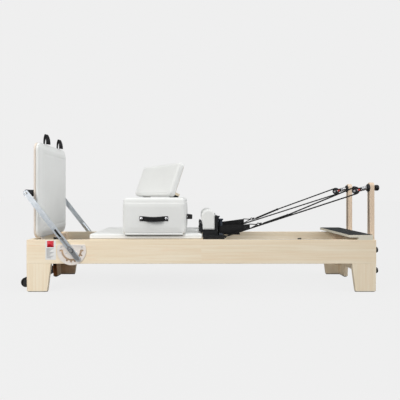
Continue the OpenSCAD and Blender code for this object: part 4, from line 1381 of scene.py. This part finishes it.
def springs():
    """Five close-wound extension springs, each with a hook at both ends."""
    low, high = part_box("springs")
    rows = sorted({round(float(y) / SPRING_PITCH) for y in points_of(NODES["springs"])[:, 1]})
    middle = (low.z + high.z) / 2
    wire, hook, lead = 1.8 * MM, 9.2 * MM, 34 * MM
    radius = 14 * MM - wire
    start, end = low.x + 11.8 * MM, high.x - 11.8 * MM
    cap = in_mm((0, 8), (1, 12.4), (7, 13.6), (8, 11))
    for row in rows:
        y = row * SPRING_PITCH
        parts = [coil("body", (start + lead, y, middle), X_AXIS, radius, wire, 3.9 * MM,
                      (end - lead) - (start + lead), "bright_steel", 14)]
        for x, way in ((start, 1), (end, -1)):
            path = [Vector((x + way * lead, y + radius * 0.7, middle)),
                    Vector((x + way * 20 * MM, y + 6 * MM, middle))]
            path += [Vector((x + hook * math.cos(a) * way, y + hook * math.sin(a), middle))
                     for a in np.linspace(0.25, 2 * math.pi - 0.1, 22)]
            eye = smooth_path(path, 3 * MM)
            spot = (x + way * 27 * MM, y, middle)
            parts.append(sweep("eye", eye, round_section(wire, 8), "bright_steel", Z_AXIS))
            parts.append(lathe("cap", cap, spot, (way, 0, 0), "black_plastic", 24))
        spring = join(f"spring_{row + 3}", parts)
        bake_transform(spring)
    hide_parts("springs")


def eyebolt(tag):
    """Tilted eyebolt shank of a pulley, inside its coil spring, with the stud through the post."""
    swivel = f"pulley_{tag}_swivel"
    root, ahead = joint_place(swivel), joint_axis(swivel)
    neck = (joint_place(f"sheave_{tag}_spin") - root).length - 36 * MM
    shank = in_mm((-2, 6), (1, 6), (1.5, 4)) + [(neck + 5.2 * MM, 4 * MM), (neck + 5.6 * MM, 7 * MM),
                                                (neck + 7 * MM, 6.4 * MM)]
    parts = [lathe("shank", shank, root, ahead, "black_steel", 28),
             lathe("stud", in_mm((-24, 6), (1, 6)), root, (-1, 0, 0), "bolt_zinc", 28),
             coil("coil", root + ahead * 3 * MM, ahead, 12.6 * MM, 3.1 * MM, 7.6 * MM, neck - 7 * MM,
                  "bright_steel", 20)]
    return hang(join("pulley_eyebolt_" + tag, parts), "frame", "spring_steel")


def pulley_trim(tag):
    """Grey plate, red mark and axle cap on both cheeks of a pulley."""
    ahead = joint_axis(f"pulley_{tag}_swivel")
    axle = joint_place(f"sheave_{tag}_spin")
    down = ahead.cross(Y_AXIS).normalized()
    plate = slab_loops(36 * MM, 13 * MM, 5 * MM, in_mm((0, -0.5), (0, 0.8), (0.8, 1.3)))
    mark = slab_loops(15 * MM, 12 * MM, 3 * MM, in_mm((0, -0.5), (0, 1.4), (0.8, 2.0)))
    disc = in_mm((0, 8), (2.4, 7), (2.8, 5), (2.8, 0))
    trims = []
    for face in (-1, 1):
        out = Vector((0, face, 0))
        spot = axle + out * 13.5 * MM
        for loops, material, offset in ((plate, "grey_plastic", 3 * MM), (mark, "red_plastic", -20 * MM)):
            tab = stack("tab", loops, material)
            tab.data.transform(axes_matrix(ahead, down, out, spot + ahead * offset))
            trims.append(tab)
        trims.append(lathe("disc", disc, spot, out, "black_plastic", 32))
    hang(join("pulley_trim_" + tag, trims), "pulley_" + tag, "black_plastic")


# ---------------------------------------------------------------- box handles and label

def box_handle(name, centre, out):
    """Arched carry handle: doubled webbing, two domed studs, a row of stitches down each edge."""
    right = Z_AXIS.cross(out).normalized()
    half, rise, sag, tab, gap = 72 * MM, 39 * MM, 3 * MM, 26 * MM, BOX_BULGE + 2 * MM
    width = 34 * MM
    path = []
    for a in np.linspace(-1, 1, 61):
        along = a * (half + tab)
        share = max(0.0, 1 - (along / half) ** 2)
        lift = out * (gap + rise * share ** 1.15)
        path.append(Vector(centre) + right * along + lift - Z_AXIS * sag * share)
    parts = [sweep("strap", path, strap_section(width, 4 * MM), "black_webbing", Z_AXIS)]
    verts, faces = [], []
    for edge in (-1, 1):
        for a, b in zip(path[2:-3:2], path[4:-1:2]):
            spot = (a + b) / 2 + Z_AXIS * edge * (width / 2 - 4 * MM)
            along = (b - a).normalized()
            normal = along.cross(Z_AXIS)
            add_stitch(verts, faces, spot + normal * 2.0 * MM, along, normal, 3.4 * MM)
    parts.append(make_piece("stitches", verts, faces, "grey_thread"))
    dome = in_mm((-4, 3), (0, 9.5), (1.4, 10.5), (2.6, 9.6), (4, 6.6), (4.8, 3), (5, 0))
    for end in (-1, 1):
        spot = Vector(centre) + right * end * (half + tab - 12 * MM) + out * (gap + 2 * MM)
        parts.append(lathe("stud", dome, spot, out, "bright_steel", 32))
    return hang(join(name, parts), "box", "webbing")


def box_handles():
    """A handle on both long sides of the box and on its head-side end."""
    low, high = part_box("box_cover")
    strap_low, strap_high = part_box("box_handles")
    middle = (low + high) / 2
    z = (strap_low.z + strap_high.z) / 2
    near = box_handle("box_handle_near", (middle.x, low.y, z), -Y_AXIS)
    box_handle("box_handle_far", (middle.x, high.y, z), Y_AXIS)
    box_handle("box_handle_head", (high.x, 0, z), X_AXIS)
    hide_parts("box_handles")


def care_label():
    """Plain maker-neutral sticker on the near rail: a red block over rows of grey bars."""
    low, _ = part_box("side_rails")
    width, height = 72 * MM, 133 * MM
    centre = Vector((low.x + 166 * MM, low.y, low.z + 94 * MM))
    ink = in_mm((0, 0.2), (0, 0.36))

    def printed(long, high, corner, material, x, down):
        patch = stack("patch", slab_loops(long, high, corner, ink), material)
        patch.data.transform(Matrix.Translation((x, height / 2 - down, 0)))
        return patch

    sheet = slab_loops(width, height, 3 * MM, in_mm((0, 0), (0, 0.22), (0.4, 0.3)))
    parts = [stack("sheet", sheet, "label_white"),
             printed(46 * MM, 44 * MM, 1 * MM, "label_red", -2 * MM, 25 * MM)]
    for i in range(11):
        length = (50 - 9 * ((i * 5) % 4)) * MM
        x, down = (length - 58 * MM) / 2, (56 + 6.4 * i) * MM
        parts.append(printed(length, 2.6 * MM, 0.5 * MM, "label_grey", x, down))
    label = join("care_label", parts)
    label.data.transform(axes_matrix(X_AXIS, Z_AXIS, -Y_AXIS, centre))
    hang(label, "frame", "white_vinyl")


extender_board()
footbar_grip()
plate_screws()
pivot_washers()
arm_slot_liners()
plate_slot_shade_sheets()
jump_board_straps()
for make, replaced in ((strap_loop, "strap_loops"), (wire_ring, "strap_rings"), (snap_hook, "snap_hooks"),
                       (rope, "ropes"), (eyebolt, "pulley_eyebolts")):
    on_both_sides(make, replaced)
for tag in SIDES:
    pulley_trim(tag)
springs()
box_handles()
care_label()


# ---------------------------------------------------------------- stage, light and camera

AMBIENT = 0.55               # radiance of the upper half of the studio
FLOOR_TONE = tone(239, 239, 239)
CONTACT = 0.06               # share of the floor's tone that takes shadows
BOUNCE = 0.12                # how much light the floor sends back up
FLOOR_REACH = 60.0
SKY_COLOUR = (0.985, 0.995, 1.0, 1.0)


def stage_face(name, corners, material):
    """A single four-cornered face that belongs to the stage, not to the part."""
    mesh = bpy.data.meshes.new(name)
    mesh.from_pydata(corners, [], [(0, 1, 2, 3)])
    mesh.materials.append(material)
    face = add_object(name, mesh)
    return face


def stage_node(tree, kind, **inputs):
    made = tree.nodes.new("ShaderNode" + kind)
    for key, value in inputs.items():
        made.inputs[key].default_value = value
    return made


def mixed(tree, first, second):
    made = tree.nodes.new("ShaderNodeMixShader")
    tree.links.new(first.outputs[0], made.inputs[1])
    tree.links.new(second.outputs[0], made.inputs[2])
    return made


def split_view(owner, output, unseen, seen):
    """Node tree in which the camera meets `seen` and all other light meets `unseen`."""
    owner.use_nodes = True
    tree = owner.node_tree
    tree.nodes.clear()
    choose = mixed(tree, unseen(tree), seen(tree))
    path = tree.nodes.new("ShaderNodeLightPath")
    tree.links.new(path.outputs["Is Camera Ray"], choose.inputs[0])
    tree.links.new(choose.outputs[0], tree.nodes.new("ShaderNodeOutput" + output).inputs[0])


def floor():
    """Seamless pale sweep: an even tone for the camera, with only a breath of contact shadow."""
    def seen(tree):
        even = stage_node(tree, "Emission", Color=FLOOR_TONE)
        lit = tuple(c / LEVEL_LIGHT for c in FLOOR_TONE[:3]) + (1.0,)
        blend = mixed(tree, even, stage_node(tree, "BsdfDiffuse", Color=lit))
        blend.inputs[0].default_value = CONTACT
        return blend

    def returned(tree):
        return stage_node(tree, "BsdfDiffuse", Color=(BOUNCE, BOUNCE, BOUNCE, 1.0))

    material = bpy.data.materials.new("studio_floor")
    split_view(material, "Material", returned, seen)
    stage_face("studio_floor", [(a * FLOOR_REACH, b * FLOOR_REACH, 0)
                                for a, b in ((-1, -1), (1, -1), (1, 1), (-1, 1))], material)


def surroundings():
    """Even pale studio light; the camera sees the same tone as the floor."""
    world = bpy.data.worlds.new("studio")
    bpy.context.scene.world = world
    split_view(world, "World",
               lambda tree: stage_node(tree, "Background", Color=SKY_COLOUR, Strength=AMBIENT),
               lambda tree: stage_node(tree, "Background", Color=FLOOR_TONE))


# Soft suns: name, way it shines, radiance of a white surface that faces it, angle, colour
SUNS = (("fill_light", Vector((-0.90, 0.36, -0.33)).normalized(), 0.53, 70, (0.985, 0.99, 1.0)),
        ("top_light", Vector((0.05, 0.10, -1.0)).normalized(), 0.19, 60, (1.0, 1.0, 1.0)))
# Key: a broad soft box at the front left, near enough for the light to fall off along the rails.
# It aims half-way from the middle of the bed to its near foot-end corner.
KEY_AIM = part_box("legs")[0] * 0.5
KEY_SPOT = Vector((-4.2, -5.2, 3.1))
KEY_GAIN = 0.49              # radiance of a white surface that faces the key light at the foot end
KEY_SIZE = 3.0
# Radiance of a level white surface, with the key's share of 0.45 for its slant to the floor
LEVEL_LIGHT = AMBIENT + KEY_GAIN * 0.45 + sum(strength * -way.z for _, way, strength, _, _ in SUNS)


def lamp(name, kind, way, energy, colour, **settings):
    """A light that shines along `way`."""
    light = put(bpy.data.lights.new(name, kind), energy=energy, color=colour, **settings)
    return put(add_object(name, light), rotation_euler=way.to_track_quat("-Z", "Y").to_euler())


def soft_box():
    way = KEY_AIM - KEY_SPOT
    power = KEY_GAIN * (math.pi * way.length) ** 2
    key = lamp("key_light", "AREA", way, power, (1.0, 0.985, 0.965), shape="DISK", size=KEY_SIZE)
    key.location = KEY_SPOT


def suns():
    for name, way, strength, angle, colour in SUNS:
        lamp(name, "SUN", way, strength * math.pi, colour, angle=math.radians(angle))


def flag():
    """Warm card that keeps the light off the far foot-end leg; the camera does not see it."""
    leg_low, leg_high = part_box("legs")
    y = 0.55 * leg_high.y
    x0, x1 = leg_low.x - 20 * MM, leg_low.x + 230 * MM
    foot, top = 1 * MM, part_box("side_rails")[0].z + 10 * MM
    s = Shader("light_flag", 1.0, specular=0.0)
    s.set("Base Color", (0.72, 0.33, 0.13, 1.0))
    card = stage_face("light_flag", [(x0, y, foot), (x1, y, foot), (x1, y, top), (x0, y, top)], s.material)
    card.visible_camera = False


EYE = (-0.037, -3.252, 0.659)            # where the photo's perspective puts the camera
FOCAL_LENGTH = 38.13         # mm, on a sensor 36 mm wide


def camera():
    """Level view square to the near side, at the height of the riser pulleys."""
    lens = put(bpy.data.cameras.new("studio_camera"), sensor_width=36.0, lens=FOCAL_LENGTH,
               shift_x=0.01, shift_y=-0.01)
    eye = add_object("studio_camera", lens)
    put(eye, location=EYE, rotation_euler=(math.radians(90), 0, 0))
    bpy.context.scene.camera = eye


floor()
surroundings()
soft_box()
suns()
flag()
camera()
put(bpy.context.scene.view_settings, view_transform="Standard", look="None")

bpy.context.view_layer.update()
